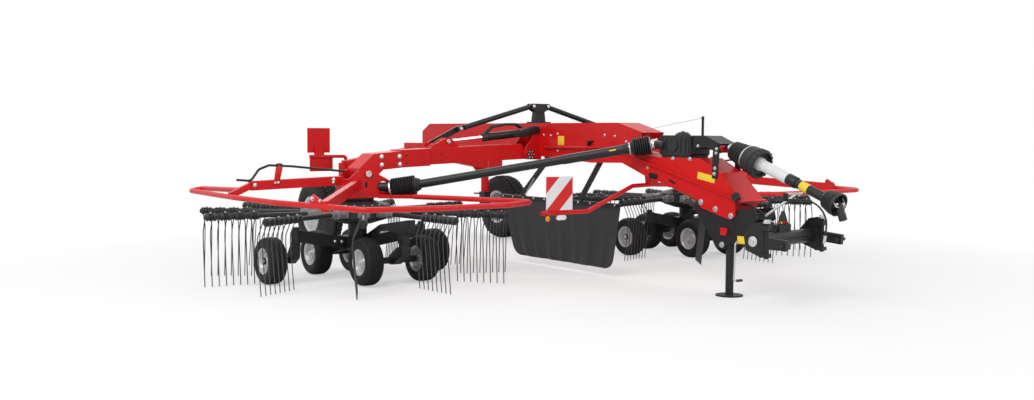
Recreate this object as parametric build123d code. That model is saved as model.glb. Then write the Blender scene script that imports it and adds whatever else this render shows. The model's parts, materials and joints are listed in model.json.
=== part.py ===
from build123d import *
from math import cos, hypot, pi, radians, tan
import os

# Twin-rotor centre-delivery hay rake, standing parked on its jack with both rotors lowered.
# Millimetres. X forward to the hitch, Y to the machine's left, Z up from the ground.
# Stations along X are measured from the transport axle, and the finished part is moved so that
# its origin is the middle of its footprint. The right half is drawn and the left is its mirror.

# Clearances
RUN = 0.05          # radial, shaft in its bore
SIDE = 0.5          # between faces that turn or slide past each other
SEAT = 0.3          # between a soft or curved piece and its seat

# Transport axle
TRACK = 2550
TYRE_D = 786
TYRE_W = 262
RIM_D = 400
KINGPIN_Y = 985
KINGPIN_D = 50
POST_TOP = 900
POST_LOW = 590
POST_D = 96
HUB_D = 120
STUB_D = 50
PORTAL_Z = 1130
PORTAL_SIZE = 120

# Rotors
ROTOR_X = 2444
ROTOR_Y = 2083
ARM_COUNT = 11
ARM_TIP_R = 1410
ARM_TUBE_D = 42
ARM_Z = 605
ARM_TRAIL = 60
ARM_START = {"right": 4.4, "left": 27.0}
SLEEVE_D = 54
SLEEVE_R = 930
TINE_PAIRS = 4
TINE_SIZE = 9
TINE_GAP = 62
TINE_LOW = 12
TINE_KNEE_Z = 430
TINE_KNEE_OUT = 52
TINE_TIP_OUT = 30
HUB_R = 300
HUB_TOP = 712
HUB_LOW = 500
MAST_D = 110
RING_W = 22

# Rotor head
ROOF_T = 22
HEAD_SEAT = 757
HEAD_SHAFT_Z = 828
SHAFT_HOLE = 96

# Rotor wheels and their carriage
RW_D = 410
RW_W = 165
RW_RIM_D = 220
RW_STUB_D = 34
FRONT_POST = (653, 108)
FRONT_TRAIL = 165
FRONT_TWIN = 283
SIDE_POST = (62, 630)
SIDE_TRAIL = 98
SIDE_WHEEL_Y = 823
REAR_AXLE_X = -436
REAR_TWIN = 197
POST_BORE = 40
HEAD_D = 84
HEAD_LOW = 360
HEAD_TOP = 470
SIDE_BEAM_H = 105
SIDE_BEAM_W = 70

# Lifting arms
HINGE_Y = 270
HINGE_Z = 1115
HINGE_D = 44
ARM_X = 2480
ARM_W = 200
ARM_H = 150
ARM_ROOT_Z = 1142
ARM_END_Y = 1700
ARM_END_Z = 1088
OUTER_W = 226
PIVOT_Y = 2066
PIVOT_Z = 950
PIVOT_D = 55
EAR = 18

# Lift cylinders
CYL_BASE = (200, 1330)
CYL_EYE = (1157, 1240)
CYL_D = 78
CYL_LENGTH = 530
CYL_ROD_D = 36
CYL_PIN_D = 30
TROUGH_END = 1012
TROUGH_GAP = 7

# Stays from the tripod to the arms
STAY_TOP = (90, 1595)
STAY_EYE = (946, 1362)
STAY_LUG = (1300, 1195)
STAY_D = 52
STAY_X = 2400
STAY_PIN_D = 26
STAY_SHIFT = 42

# Main beam
BEAM_W = 260
FLANGE_W = 310
BEAM_REAR = 340
BEAM_TOP = 1424
BEAM_LOW = 1092
SEAT_Z = 1123
NOSE_X = 5205

# Gearbox and shafts
GEAR_X = (4305, 4680)
GEAR_H = 170
GEAR_W = 230
DRIVE_JOINT = (4160, 175, 1215)
ROTOR_JOINT = (2748, 1752, 838)
DRIVE_D = 84
DRIVE_BALL_D = 164
DRIVE_INNER_D = 76
DRIVE_OUTER_END = 720
DRIVE_INNER_START = 545
PTO_REAR = (5120, 1172)
PTO_FRONT = (6100, 808)
PTO_D = 92
PTO_OUTER_D = 76
PTO_TRAVEL = 350
PTO_BACK = 68
PTO_BORE_D = 35
PTO_BORE = 60
YOKE_TOP = (6118, 800)
YOKE_END = (6160, 690)
YOKE_D = 62

# Drawbar, jack and headstock
PLATE_T = 14
DRAWBAR_Y = 100
JACK_X = 5097
JACK_Y = -62
JACK_D = 66
JACK_TOP = 455
JACK_TUBE_TOP = 715
JACK_TRAVEL = 250
FOOT_D = 224
FOOT_T = 12
YAW_X = 5450
YAW_PIN_D = 50
HITCH_YAW = 8
HITCH_Z = 510
HITCH_TUBE_D = 114
HITCH_AHEAD = 125
LINK_Y = 400
LINK_PIN_D = 28
LINK_FROM = 238
LINK_Z = 496
LINK_REACH = 180

# Guards, boards and curtain
HOOP_D = 45
BOARD = 282
BOARD_T = 3
BOARD_X = 4111
BOARD_Y = 1071
BOARD_Z = 822
REAR_BOARD = (-142, 1216, 1225)
TUBE_D = 38
CURTAIN_X = (1890, 3770)
CURTAIN_Z = (70, 682)
CURTAIN_Y = -88
CURTAIN_T = 6
CURTAIN_REAR_CUT = 245
CURTAIN_FRONT_CUT = 100
CURTAIN_CORNER = 90

# Hoses
HOSE_D = 14
HOSE_Y = -130
HOSE_CLIP_Z = 828
REST = (5722, 872)

FRONT_END = YOKE_END[0] + YOKE_D / 2 * (YOKE_TOP[1] - YOKE_END[1]) / hypot(YOKE_TOP[0] - YOKE_END[0], YOKE_TOP[1] - YOKE_END[1])
ORIGIN_X = (FRONT_END - TYRE_D / 2) / 2


def rod(a, b, diameter):
    """A round bar from point a to point b."""
    a, b = Vector(*a), Vector(*b)
    return extrude(Plane(origin=a, z_dir=b - a) * Circle(diameter / 2), (b - a).length)


def tube(a, b, outer, inner):
    """A round tube from a to b, open at both ends."""
    a, b = Vector(*a), Vector(*b)
    ring = Circle(outer / 2) - Circle(inner / 2)
    return extrude(Plane(origin=a, z_dir=b - a) * ring, (b - a).length)


def bar(a, b, width, height, side=(1, 0, 0)):
    """A rectangular bar from a to b, its width along the direction side."""
    a, b = Vector(*a), Vector(*b)
    return extrude(Plane(origin=a, x_dir=Vector(*side), z_dir=b - a) * Rectangle(width, height), (b - a).length)


def block(x, y, z):
    """A box between pairs of limits."""
    size = [abs(b - a) for a, b in (x, y, z)]
    middle = [(a + b) / 2 for a, b in (x, y, z)]
    return Pos(*middle) * Box(*size)


def outline(points, radius=0):
    """A closed flat face through the points, its corners rounded."""
    face = make_face(Polyline(*points, close=True))
    return fillet(face.vertices(), radius) if radius else face


def side_plate(points, y, thickness, radius=0):
    """A plate whose outline is drawn in X and Z, centred on y."""
    plane = Plane(origin=(0, y, 0), x_dir=(1, 0, 0), z_dir=(0, -1, 0))
    return extrude(plane * outline(points, radius), thickness / 2, both=True)


def cross_plate(points, x, thickness, radius=0):
    """A plate whose outline is drawn in Y and Z, centred on x."""
    plane = Plane(origin=(x, 0, 0), x_dir=(0, 1, 0), z_dir=(1, 0, 0))
    return extrude(plane * outline(points, radius), thickness / 2, both=True)


def flat_plate(points, z, thickness, radius=0):
    """A plate whose outline is drawn in X and Y, with its top at z."""
    return extrude(Pos(0, 0, z - thickness) * outline(points, radius), thickness)


def bent_tube(points, diameter, radius):
    """A round tube through the points, with bends of one radius or of the radii in a list."""
    path = FilletPolyline(*[Vector(*p) for p in points], radius=radius)
    return sweep(Plane(origin=path @ 0, z_dir=path % 0) * Circle(diameter / 2), path)


def turned(profile, centre=(0, 0, 0), axis=(0, 1, 0)):
    """A solid of revolution: the profile gives (along the axis, radius) pairs."""
    face = make_face(Polyline(*[(a, r) for a, r in profile], close=True))
    solid = revolve(face, Axis.X)
    axis = Vector(*axis)
    side = axis.cross(Vector(1, 0, 0) if abs(axis.X) < 0.7 else Vector(0, 1, 0))
    return Plane(origin=centre, x_dir=axis, z_dir=side) * solid


def at_rotor(x, y, z):
    """A point given from the right rotor's centre, y toward the middle of the machine."""
    return (ROTOR_X + x, -ROTOR_Y + y, z)


def wheel_profile(diameter, width, rim_d, bore, hub_d, hub_half):
    """Half section of a wheel and its tyre, from one side to the other."""
    r, w, s = diameter / 2, width / 2, rim_d / 2
    return [(-hub_half, bore / 2 + RUN), (-hub_half, hub_d / 2), (-w * 0.25, hub_d / 2 + 12), (-w * 0.25, s - 22),
            (-w * 0.8, s - 12), (-w * 0.9, s + 6), (-w, (r + s) / 2), (-w * 0.82, r - r * 0.05), (-w * 0.3, r),
            (w * 0.3, r), (w * 0.82, r - r * 0.05), (w, (r + s) / 2), (w * 0.9, s + 6), (w * 0.8, s - 12),
            (w * 0.05, s - 22), (w * 0.05, hub_d / 2 + 12), (hub_half, hub_d / 2), (hub_half, bore / 2 + RUN)]


# Transport wheels

def transport_wheel():
    profile = wheel_profile(TYRE_D, TYRE_W, RIM_D, STUB_D, HUB_D, 70)
    return turned(profile, (0, -TRACK / 2, TYRE_D / 2), (0, 1, 0))


def knuckle():
    hub_z = TYRE_D / 2
    leg_top = POST_LOW - SIDE
    pin = rod((0, -KINGPIN_Y, leg_top - 60), (0, -KINGPIN_Y, POST_TOP - 20), KINGPIN_D)
    leg = side_plate([(-60, leg_top), (60, leg_top), (45, hub_z - 60), (-45, hub_z - 60)], -KINGPIN_Y, 90, 8)
    stub = rod((0, -KINGPIN_Y, hub_z), (0, -TRACK / 2 - 80, hub_z), STUB_D)
    collar = rod((0, -KINGPIN_Y, hub_z), (0, -TRACK / 2 + 70 + SIDE, hub_z), STUB_D + 30)
    cap = rod((0, -TRACK / 2 - 70 - SIDE, hub_z), (0, -TRACK / 2 - 96, hub_z), HUB_D - 20)
    arm = flat_plate([(0, -KINGPIN_Y - 40), (0, -KINGPIN_Y + 40), (-190, -KINGPIN_Y + 40), (-190, -KINGPIN_Y - 5)],
                     leg_top - 20, 16)
    return pin + leg + collar + stub + cap + arm


def rear_axle():
    half = bar((0, 0, PORTAL_Z - 20), (0, -KINGPIN_Y + 20, POST_TOP + 35), PORTAL_SIZE, PORTAL_SIZE)
    post = tube((0, -KINGPIN_Y, POST_LOW), (0, -KINGPIN_Y, POST_TOP), POST_D, KINGPIN_D + 2 * RUN)
    cap = rod((0, -KINGPIN_Y, POST_TOP), (0, -KINGPIN_Y, POST_TOP + 70), POST_D)
    gusset = cross_plate([(-KINGPIN_Y, POST_LOW + 120), (-KINGPIN_Y + 180, POST_TOP), (-KINGPIN_Y, POST_TOP)], 0, 12)
    half = half - rod((0, -KINGPIN_Y, POST_LOW), (0, -KINGPIN_Y, POST_TOP), KINGPIN_D + 2 * RUN)
    side = half + (gusset - rod((0, -KINGPIN_Y, POST_LOW), (0, -KINGPIN_Y, POST_TOP), POST_D - 10)) + post + cap
    saddle = block((-60, BEAM_REAR + 260), (-BEAM_W / 2 - 14, BEAM_W / 2 + 14), (PORTAL_Z - 90, PORTAL_Z + 70))
    return side + mirror(side, Plane.XZ) + saddle


# Main beam, its hinge plates and what stands on it

def main_beam():
    half = BEAM_W / 2
    box = side_plate([(BEAM_REAR, PORTAL_Z + 70), (BEAM_REAR, 1340), (BEAM_REAR + 160, BEAM_TOP), (3767, BEAM_TOP),
                      (4100, 1336), (4040, 1215), (3700, 1200)], 0, BEAM_W)
    lower = side_plate([(700, PORTAL_Z + 70), (1500, BEAM_LOW), (2720, BEAM_LOW), (3394, 1050), (3830, 1060),
                        (4170, 942), (4738, 815), (4827, 712), (5140, 634), (NOSE_X, 660), (NOSE_X, 800),
                        (4080, 1150), (3700, 1200), (2700, 1202)], 0, BEAM_W)
    flange = side_plate([(2690, 1190), (3690, 1190), (5290, 780), (5290, 792), (3700, 1203), (2690, 1203)], 0, FLANGE_W)
    seat = side_plate([(3900, 1160), (4300, SEAT_Z), (4810, SEAT_Z), (5040, 1010), (NOSE_X + 75, 792), (5000, 820)],
                      0, BEAM_W)
    pocket = side_plate([(4700, 600), (4700, 822), (5230, 702), (NOSE_X + 30, 600)], 0, 2 * (DRAWBAR_Y + PLATE_T + SEAT))
    hinge = hinge_plates()
    return box + (lower - pocket) + flange + seat + hinge + mirror(hinge, Plane.XZ)


def hinge_plates():
    """The pair of plates on the right side of the beam that hold one arm's hinge pin."""
    points = [(-BEAM_W / 2 + 20, 1370), (-150, 1366), (-HINGE_Y - 30, HINGE_Z + 62), (-HINGE_Y - 52, HINGE_Z + 10),
              (-HINGE_Y - 30, HINGE_Z - 50), (-BEAM_W / 2 + 20, 1060)]
    plates = None
    for x in (ARM_X + ARM_W / 2 + SIDE + EAR / 2, ARM_X - ARM_W / 2 - SIDE - EAR / 2):
        plate = cross_plate(points, x, EAR)
        plates = plate if plates is None else plates + plate
    ends = ARM_X + ARM_W / 2 + SIDE + EAR + 30, ARM_X - ARM_W / 2 - SIDE - EAR - 10
    pin = rod((ends[0], -HINGE_Y, HINGE_Z), (ends[1], -HINGE_Y, HINGE_Z), HINGE_D)
    knob = rod((ends[0] - 30, -HINGE_Y, HINGE_Z), (ends[0], -HINGE_Y, HINGE_Z), 92)
    base = cylinder_base()
    return plates + pin + knob + base


def cylinder_base():
    """Two ears on the beam that hold the foot of the lift cylinder."""
    y, z = CYL_BASE
    ears = None
    for x in (ARM_X + 24, ARM_X - 24):
        ear = cross_plate([(-BEAM_W / 2 + 10, z - 60), (-y - 28, z - 24), (-y - 28, z + 24), (-BEAM_W / 2 + 10, z + 60)],
                          x, 12)
        ears = ear if ears is None else ears + ear
    pin = rod((ARM_X - 40, -y, z), (ARM_X + 40, -y, z), CYL_PIN_D)
    return ears + pin


def tripod():
    y, z = STAY_TOP
    foot = block((STAY_X - 80, STAY_X + 90), (-90, 90), (BEAM_TOP, BEAM_TOP + 14))
    leg = cross_plate([(-70, BEAM_TOP + 10), (-45, z + 10), (45, z + 10), (70, BEAM_TOP + 10)], STAY_X, 60)
    ears = None
    for x in (STAY_X + 34, STAY_X - 34):
        ear = cross_plate([(-y - 26, z - 26), (-y - 26, z + 26), (y + 26, z + 26), (y + 26, z - 26), (45, z - 60),
                           (-45, z - 60)], x, 8, 8)
        ears = ear if ears is None else ears + ear
    pins = rod((STAY_X - 44, -y, z), (STAY_X + 44, -y, z), STAY_PIN_D)
    pins += rod((STAY_X - 44, y, z), (STAY_X + 44, y, z), STAY_PIN_D)
    return foot + leg + ears + pins


def gearbox():
    low = SEAT_Z + 20
    middle = low + GEAR_H / 2
    case = fillet(block(GEAR_X, (-GEAR_W / 2, GEAR_W / 2), (low, low + GEAR_H)).edges().filter_by(Axis.Y), 18)
    foot = block((GEAR_X[0] + 20, GEAR_X[1] - 10), (-GEAR_W / 2 + 8, GEAR_W / 2 - 8), (SEAT_Z, low))
    cap = turned([(0, 0), (0, 62), (14, 58), (26, 0)], (4470, 0, low + GEAR_H), (0, 0, 1))
    cover = rod((4470, -GEAR_W / 2 - 8, middle), (4470, GEAR_W / 2 + 8, middle), 112)
    side = rod((GEAR_X[0] + 60, -DRIVE_JOINT[1] + 70, middle), drive_point(-100), 76)
    seat = rod(drive_point(-128), drive_point(-60), 86)
    output = side + seat - Pos(*drive_point(0)) * Sphere(DRIVE_BALL_D / 2 + SEAT)
    front = rod((GEAR_X[1] - 10, 0, middle), pto_point(-PTO_BACK - 30), 54)
    front += rod(pto_point(-PTO_BACK - 44), pto_point(-PTO_BACK - SEAT), 70)
    return case + foot + cap + cover + output + mirror(output, Plane.XZ) + front


def gearbox_cover():
    """The folded channel over the input shaft, its strap leg and the cable post."""
    top = [(4690, 1308), (4830, 1312), (4998, 1246), (4985, 1172), (4840, 1215), (4690, 1200)]
    cheek = side_plate(top, -95, 5, 6) + side_plate(top, 95, 5, 6)
    roof = side_plate([(4690, 1303), (4829, 1307), (4996, 1241), (4998, 1246), (4830, 1312), (4690, 1308)], 0, 195)
    leg = side_plate([(4960, 1240), (5030, 1215), (5010, 960), (4950, 960)], -BEAM_W / 2 - 4, 8, 12)
    link = block((4965, 5015), (-BEAM_W / 2 - 4, -92), (1170, 1190))
    post = rod((4705, 0, 1300), (4705, 0, 1470), 22)
    return cheek + roof + leg + mirror(leg, Plane.XZ) + link + mirror(link, Plane.XZ) + post


# Lifting arm, rotor bracket and guard hoop

def arm():
    root = (ARM_X, -HINGE_Y - 62, ARM_ROOT_Z)
    end = (ARM_X, -ARM_END_Y, ARM_END_Z)
    main = bar(root, end, ARM_W, ARM_H)
    boss = tube((ARM_X - ARM_W / 2, -HINGE_Y, HINGE_Z), (ARM_X + ARM_W / 2, -HINGE_Y, HINGE_Z), 92, HINGE_D + 2 * RUN)
    neck = cross_plate([(-HINGE_Y - 30, HINGE_Z + 44), (-HINGE_Y - 80, ARM_ROOT_Z + ARM_H / 2),
                        (-HINGE_Y - 80, ARM_ROOT_Z - ARM_H / 2), (-HINGE_Y - 30, HINGE_Z - 44)], ARM_X, ARM_W)
    neck -= rod((ARM_X - ARM_W, -HINGE_Y, HINGE_Z), (ARM_X + ARM_W, -HINGE_Y, HINGE_Z), HINGE_D + 2 * RUN)
    outer = cross_plate([(-1400, 1176), (-1990, 1130), (-2140, 1000), (-2130, 925), (-2066, 902), (-1975, 912),
                         (-1900, 985), (-1700, 1002), (-1400, 1015)], ARM_X, OUTER_W, 12)
    y, z = CYL_EYE
    lugs = None
    for x in (ARM_X + 30, ARM_X - 30):
        lug = cross_plate([(-y + 150, z - 70), (-y + 30, z + 34), (-y - 30, z + 34), (-y - 240, z - 72)], x, 12)
        lugs = lug if lugs is None else lugs + lug
    stops = rod((ARM_X - 44, -y, z), (ARM_X - 24 - SIDE, -y, z), CYL_PIN_D + 14)
    stops += rod((ARM_X + 24 + SIDE, -y, z), (ARM_X + 44, -y, z), CYL_PIN_D + 14)
    ly, lz = STAY_LUG
    lug_x = STAY_X - STAY_SHIFT
    stay = cross_plate([(-ly + 70, lz - 110), (-ly + 34, lz + 34), (-ly - 34, lz + 34), (-ly - 70, lz - 110)],
                       ARM_X - ARM_W / 2 - 3, 12, 8)
    stay_pin = rod((lug_x - 18, -ly, lz), (ARM_X - ARM_W / 2, -ly, lz), STAY_PIN_D)
    trough = cross_plate([(-HINGE_Y, 1300), (-HINGE_Y, 1148), (-TROUGH_END, 1186), (-TROUGH_END, 1300)], ARM_X,
                         CYL_D + 2 * TROUGH_GAP)
    part = (main + neck - trough) + boss + outer + lugs + stops + stay + stay_pin
    half = OUTER_W
    return part - rod((ARM_X - half, -PIVOT_Y, PIVOT_Z), (ARM_X + half, -PIVOT_Y, PIVOT_Z), PIVOT_D + 2 * RUN)


def bracket():
    """The welded carrier between the arm's end pin and the rotor's head, with its outer boom."""
    cheeks = None
    half = OUTER_W / 2 + SIDE + EAR / 2
    points = [(-2150, 985), (-2066, 990), (-1985, 960), (-1835, 885), (-1838, 865), (-1905, 735), (-2240, 735),
              (-2262, 905)]
    for x in (ARM_X + half, ARM_X - half):
        cheek = cross_plate(points, x, EAR, 6)
        cheeks = cheek if cheeks is None else cheeks + cheek
    inner = half - EAR / 2
    cheeks += cross_plate([(-1990, 880), (-1838, 865), (-1655, 776), (-1655, 738), (-1905, 735), (-1990, 740)], ARM_X + half, EAR)
    cheeks -= rod(drive_point(drive_length() - 20), at_rotor(0, 0, HEAD_SHAFT_Z), SHAFT_HOLE)
    roof = block((ARM_X - inner, ARM_X + inner), (-2240, -1920), (HEAD_SEAT - ROOF_T, HEAD_SEAT))
    end = block((ARM_X - inner, ARM_X + inner), (-2262, -2222), (HEAD_SEAT - ROOF_T, 905))
    pin = rod((ARM_X - half - 24, -PIVOT_Y, PIVOT_Z), (ARM_X + half + 24, -PIVOT_Y, PIVOT_Z), PIVOT_D)
    boom = bar((ROTOR_X, -2240, 890), (ROTOR_X, -3101, 862), 80, 80)
    fork = bar((ROTOR_X, -3101, 862), (ROTOR_X, -3278, 785), 60, 50)
    return cheeks + roof + end + pin + boom + fork


HOOP_POINTS = [(-20, -1100, 826), (-980, -1075, 797), (-980, -1190, 779), (120, -1200, 772), (740, -1125, 764),
               (1230, -970, 756), (1690, -840, 750), (1750, -240, 746), (1690, 480, 744), (1490, 880, 744),
               (1200, 770, 746), (440, 330, 752)]
HOOP_RADII = [50, 50, 130, 130, 130, 130, 130, 130, 130, 130]
HOOP_FOOT = (1285, -955, 755)


def hoop():
    """The guard tube round the front of the rotor and the legs that hold it to the bracket."""
    loop = bent_tube([at_rotor(*p) for p in HOOP_POINTS], HOOP_D, HOOP_RADII)
    cheek = ARM_X + OUTER_W / 2 + SIDE + EAR
    front = bar((cheek - 40, -2140, 860), at_rotor(*HOOP_FOOT), 60, 84)
    inner = bar((cheek - 30, -1970, 745), at_rotor(*HOOP_POINTS[-1]), 24, 34)
    inside = block((ARM_X - OUTER_W, cheek), (-2400, -1800), (600, 1100))
    return (loop - bracket()) + (front + inner - inside)


# Rotor, tines and carriage

def rotor_hub():
    bore = MAST_D / 2 + RUN
    profile = [(HUB_LOW, bore), (HUB_TOP, bore), (HUB_TOP, 120), (HUB_TOP - 12, 190), (655, HUB_R), (560, HUB_R),
               (535, 240), (HUB_LOW, 130)]
    return turned([(a, r) for a, r in profile], at_rotor(0, 0, 0), (0, 0, 1))


def tine():
    """One prong, its knee trailing behind an arm along X."""
    s = TINE_SIZE / 2
    top = ARM_TUBE_D / 2 - 4
    points = [(top - s, 0), (top + s, 0), (TINE_KNEE_OUT + s, TINE_KNEE_Z - ARM_Z), (TINE_TIP_OUT + s, TINE_LOW - ARM_Z),
              (TINE_TIP_OUT - s, TINE_LOW - ARM_Z), (TINE_KNEE_OUT - s, TINE_KNEE_Z - ARM_Z)]
    plane = Plane(origin=(0, 0, 0), x_dir=(0, -1, 0), z_dir=(-1, 0, 0))
    return extrude(plane * outline(points), TINE_SIZE / 2, both=True)


def tine_arm():
    """One arm along X from the hub's ring, with its tines."""
    start = HUB_R + 6
    part = rod((start, ARM_TRAIL, 0), (ARM_TIP_R, ARM_TRAIL, 0), ARM_TUBE_D)
    part += rod((SLEEVE_R, ARM_TRAIL, 0), (ARM_TIP_R - 12, ARM_TRAIL, 0), SLEEVE_D)
    step = (ARM_TIP_R - SLEEVE_R - TINE_GAP - 50) / (TINE_PAIRS - 1)
    prong = tine()
    prongs = []
    for pair in range(TINE_PAIRS):
        for half in (0, TINE_GAP):
            prongs.append(Pos(SLEEVE_R + 22 + pair * step + half, ARM_TRAIL, 0) * prong)
    return part.fuse(*prongs)


def tine_arms(start):
    """The ring round the hub with its arms, spaced evenly from the start angle."""
    ring = tube((0, 0, -34), (0, 0, 34), 2 * (HUB_R + RUN + RING_W), 2 * (HUB_R + RUN))
    one = tine_arm()
    arms = [Rot(0, 0, start + k * 360 / ARM_COUNT) * one for k in range(ARM_COUNT)]
    return Pos(*at_rotor(0, 0, ARM_Z)) * ring.fuse(*arms)


def carriage():
    """The fixed mast through the rotor and the frame that carries the wheels under it."""
    mast = rod(at_rotor(0, 0, 300), at_rotor(0, 0, HEAD_SEAT - ROOF_T), MAST_D)
    seat = rod(at_rotor(0, 0, 300), at_rotor(0, 0, HUB_LOW - SIDE), 170)
    head = rod(at_rotor(0, 0, HUB_TOP + SIDE), at_rotor(0, 0, HEAD_SEAT - ROOF_T), 300)
    box = block((ROTOR_X - 150, ROTOR_X + 110), (-ROTOR_Y - 130, -ROTOR_Y + 130), (265, 385))
    x, y = SIDE_POST
    part = mast + seat + head + box
    for side in (-1, 1):
        part += bar(at_rotor(0, side * 100, 325), at_rotor(x, side * (y - 20), 415), SIDE_BEAM_W, SIDE_BEAM_H)
        part += rod(at_rotor(x, side * y, HEAD_LOW), at_rotor(x, side * y, HEAD_TOP), HEAD_D)
        part -= rod(at_rotor(x, side * y, HEAD_LOW - 9), at_rotor(x, side * y, HEAD_TOP + 9), POST_BORE + 2 * RUN)
    px, py = FRONT_POST
    neck = side_plate([(40, 300), (40, 400), (289, 505), (640, 556), (px + 125, 576), (px + 125, 465), (px + 42, 450),
                       (px + 42, 362), (px - 42, 362), (px - 42, 440), (400, 462), (160, 425), (105, 300)], py, 74, 8)
    neck = Pos(ROTOR_X, -ROTOR_Y, 0) * neck
    part += neck + rod(at_rotor(px, py, 362), at_rotor(px, py, 500), HEAD_D)
    part -= rod(at_rotor(px, py, 350), at_rotor(px, py, 480), POST_BORE + 2 * RUN)
    part += block((ROTOR_X - 150, ROTOR_X), (-ROTOR_Y + 60, -ROTOR_Y + 145), (300, 385))
    part += bar(at_rotor(-120, 0, 315), at_rotor(REAR_AXLE_X, 0, RW_D / 2 + 25), 90, 80, (0, 1, 0))
    hub_z = RW_D / 2
    part += rod(at_rotor(REAR_AXLE_X, -REAR_TWIN + 60, hub_z), at_rotor(REAR_AXLE_X, REAR_TWIN - 60, hub_z), 60)
    part += rod(at_rotor(REAR_AXLE_X, -REAR_TWIN - 60, hub_z), at_rotor(REAR_AXLE_X, REAR_TWIN + 60, hub_z), RW_STUB_D)
    return part


def rotor_wheel(x, y):
    """One wheel turning about the Y direction, its centre at x, y from the rotor."""
    profile = wheel_profile(RW_D, RW_W, RW_RIM_D, RW_STUB_D, 70, 52)
    return turned(profile, at_rotor(x, y, RW_D / 2), (0, 1, 0))


def side_leg(side):
    """The leg of one side wheel in its socket: side is 1 toward the machine's middle, -1 outward."""
    x, y = SIDE_POST[0], side * SIDE_POST[1]
    hub = RW_D / 2
    wheel_x = x - SIDE_TRAIL
    wheel_y = side * SIDE_WHEEL_Y
    pin = rod(at_rotor(x, y, HEAD_LOW - 60), at_rotor(x, y, HEAD_TOP + 6), POST_BORE)
    cap = rod(at_rotor(x, y, HEAD_TOP + SIDE), at_rotor(x, y, HEAD_TOP + 26), 58)
    leg = side_plate([(ROTOR_X + x - 36, HEAD_LOW - SIDE), (ROTOR_X + x + 36, HEAD_LOW - SIDE),
                      (ROTOR_X + x + 20, hub + 20), (ROTOR_X + wheel_x + 30, hub - 34),
                      (ROTOR_X + wheel_x - 30, hub - 34), (ROTOR_X + wheel_x - 34, hub + 40)],
                     -ROTOR_Y + y, 56, 8)
    stub = rod(at_rotor(wheel_x, y, hub), at_rotor(wheel_x, wheel_y + side * 56, hub), RW_STUB_D)
    collar = rod(at_rotor(wheel_x, y, hub), at_rotor(wheel_x, wheel_y - side * (52 + SIDE), hub), RW_STUB_D + 20)
    end = rod(at_rotor(wheel_x, wheel_y + side * (52 + SIDE), hub), at_rotor(wheel_x, wheel_y + side * 68, hub), 62)
    return pin + cap + leg + stub + collar + end


def front_caster():
    x, y = FRONT_POST
    hub = RW_D / 2
    axle_x = x - FRONT_TRAIL
    pin = rod(at_rotor(x, y, 280), at_rotor(x, y, 470), POST_BORE)
    collar = rod(at_rotor(x, y, 300), at_rotor(x, y, 362 - SIDE), HEAD_D + 10)
    leg = side_plate([(ROTOR_X + x - 46, 330), (ROTOR_X + x + 46, 330), (ROTOR_X + x + 40, 262),
                      (ROTOR_X + axle_x + 34, hub - 36), (ROTOR_X + axle_x - 36, hub - 36),
                      (ROTOR_X + axle_x - 36, hub + 30)], -ROTOR_Y + y, 90, 8)
    inner = FRONT_TWIN - 52 - SIDE
    cross = rod(at_rotor(axle_x, y - inner, hub), at_rotor(axle_x, y + inner, hub), RW_STUB_D + 24)
    stub = rod(at_rotor(axle_x, y - FRONT_TWIN - 60, hub), at_rotor(axle_x, y + FRONT_TWIN + 60, hub), RW_STUB_D)
    return pin + collar + leg + cross + stub


def front_wheels():
    x = FRONT_POST[0] - FRONT_TRAIL
    y = FRONT_POST[1]
    return rotor_wheel(x, y - FRONT_TWIN) + rotor_wheel(x, y + FRONT_TWIN)


def rear_wheels():
    return rotor_wheel(REAR_AXLE_X, -REAR_TWIN) + rotor_wheel(REAR_AXLE_X, REAR_TWIN)


# Lift cylinder and stay

def along(a, b, distance, x):
    """The point at a distance from a toward b, both given as (outward Y, Z)."""
    length = hypot(b[0] - a[0], b[1] - a[1])
    t = distance / length
    return (x, -(a[0] + (b[0] - a[0]) * t), a[1] + (b[1] - a[1]) * t)


def cylinder_barrel():
    eye = tube((ARM_X - 17, -CYL_BASE[0], CYL_BASE[1]), (ARM_X + 17, -CYL_BASE[0], CYL_BASE[1]), 62,
               CYL_PIN_D + 2 * RUN)
    tang = bar(along(CYL_BASE, CYL_EYE, 27, ARM_X), along(CYL_BASE, CYL_EYE, 52, ARM_X), 34, 50)
    body = tube(along(CYL_BASE, CYL_EYE, 50, ARM_X), along(CYL_BASE, CYL_EYE, CYL_LENGTH, ARM_X), CYL_D - 12,
                CYL_ROD_D + 2 * RUN)
    skin = tube(along(CYL_BASE, CYL_EYE, 50, ARM_X), along(CYL_BASE, CYL_EYE, CYL_LENGTH, ARM_X), CYL_D, CYL_D - 12)
    return eye + tang + body + skin


def cylinder_rod():
    length = hypot(CYL_EYE[0] - CYL_BASE[0], CYL_EYE[1] - CYL_BASE[1])
    shaft = rod(along(CYL_BASE, CYL_EYE, CYL_LENGTH - 150, ARM_X), along(CYL_BASE, CYL_EYE, length - 20, ARM_X), CYL_ROD_D)
    eye = rod((ARM_X - 22, -CYL_EYE[0], CYL_EYE[1]), (ARM_X + 22, -CYL_EYE[0], CYL_EYE[1]), 62)
    return shaft + eye


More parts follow.
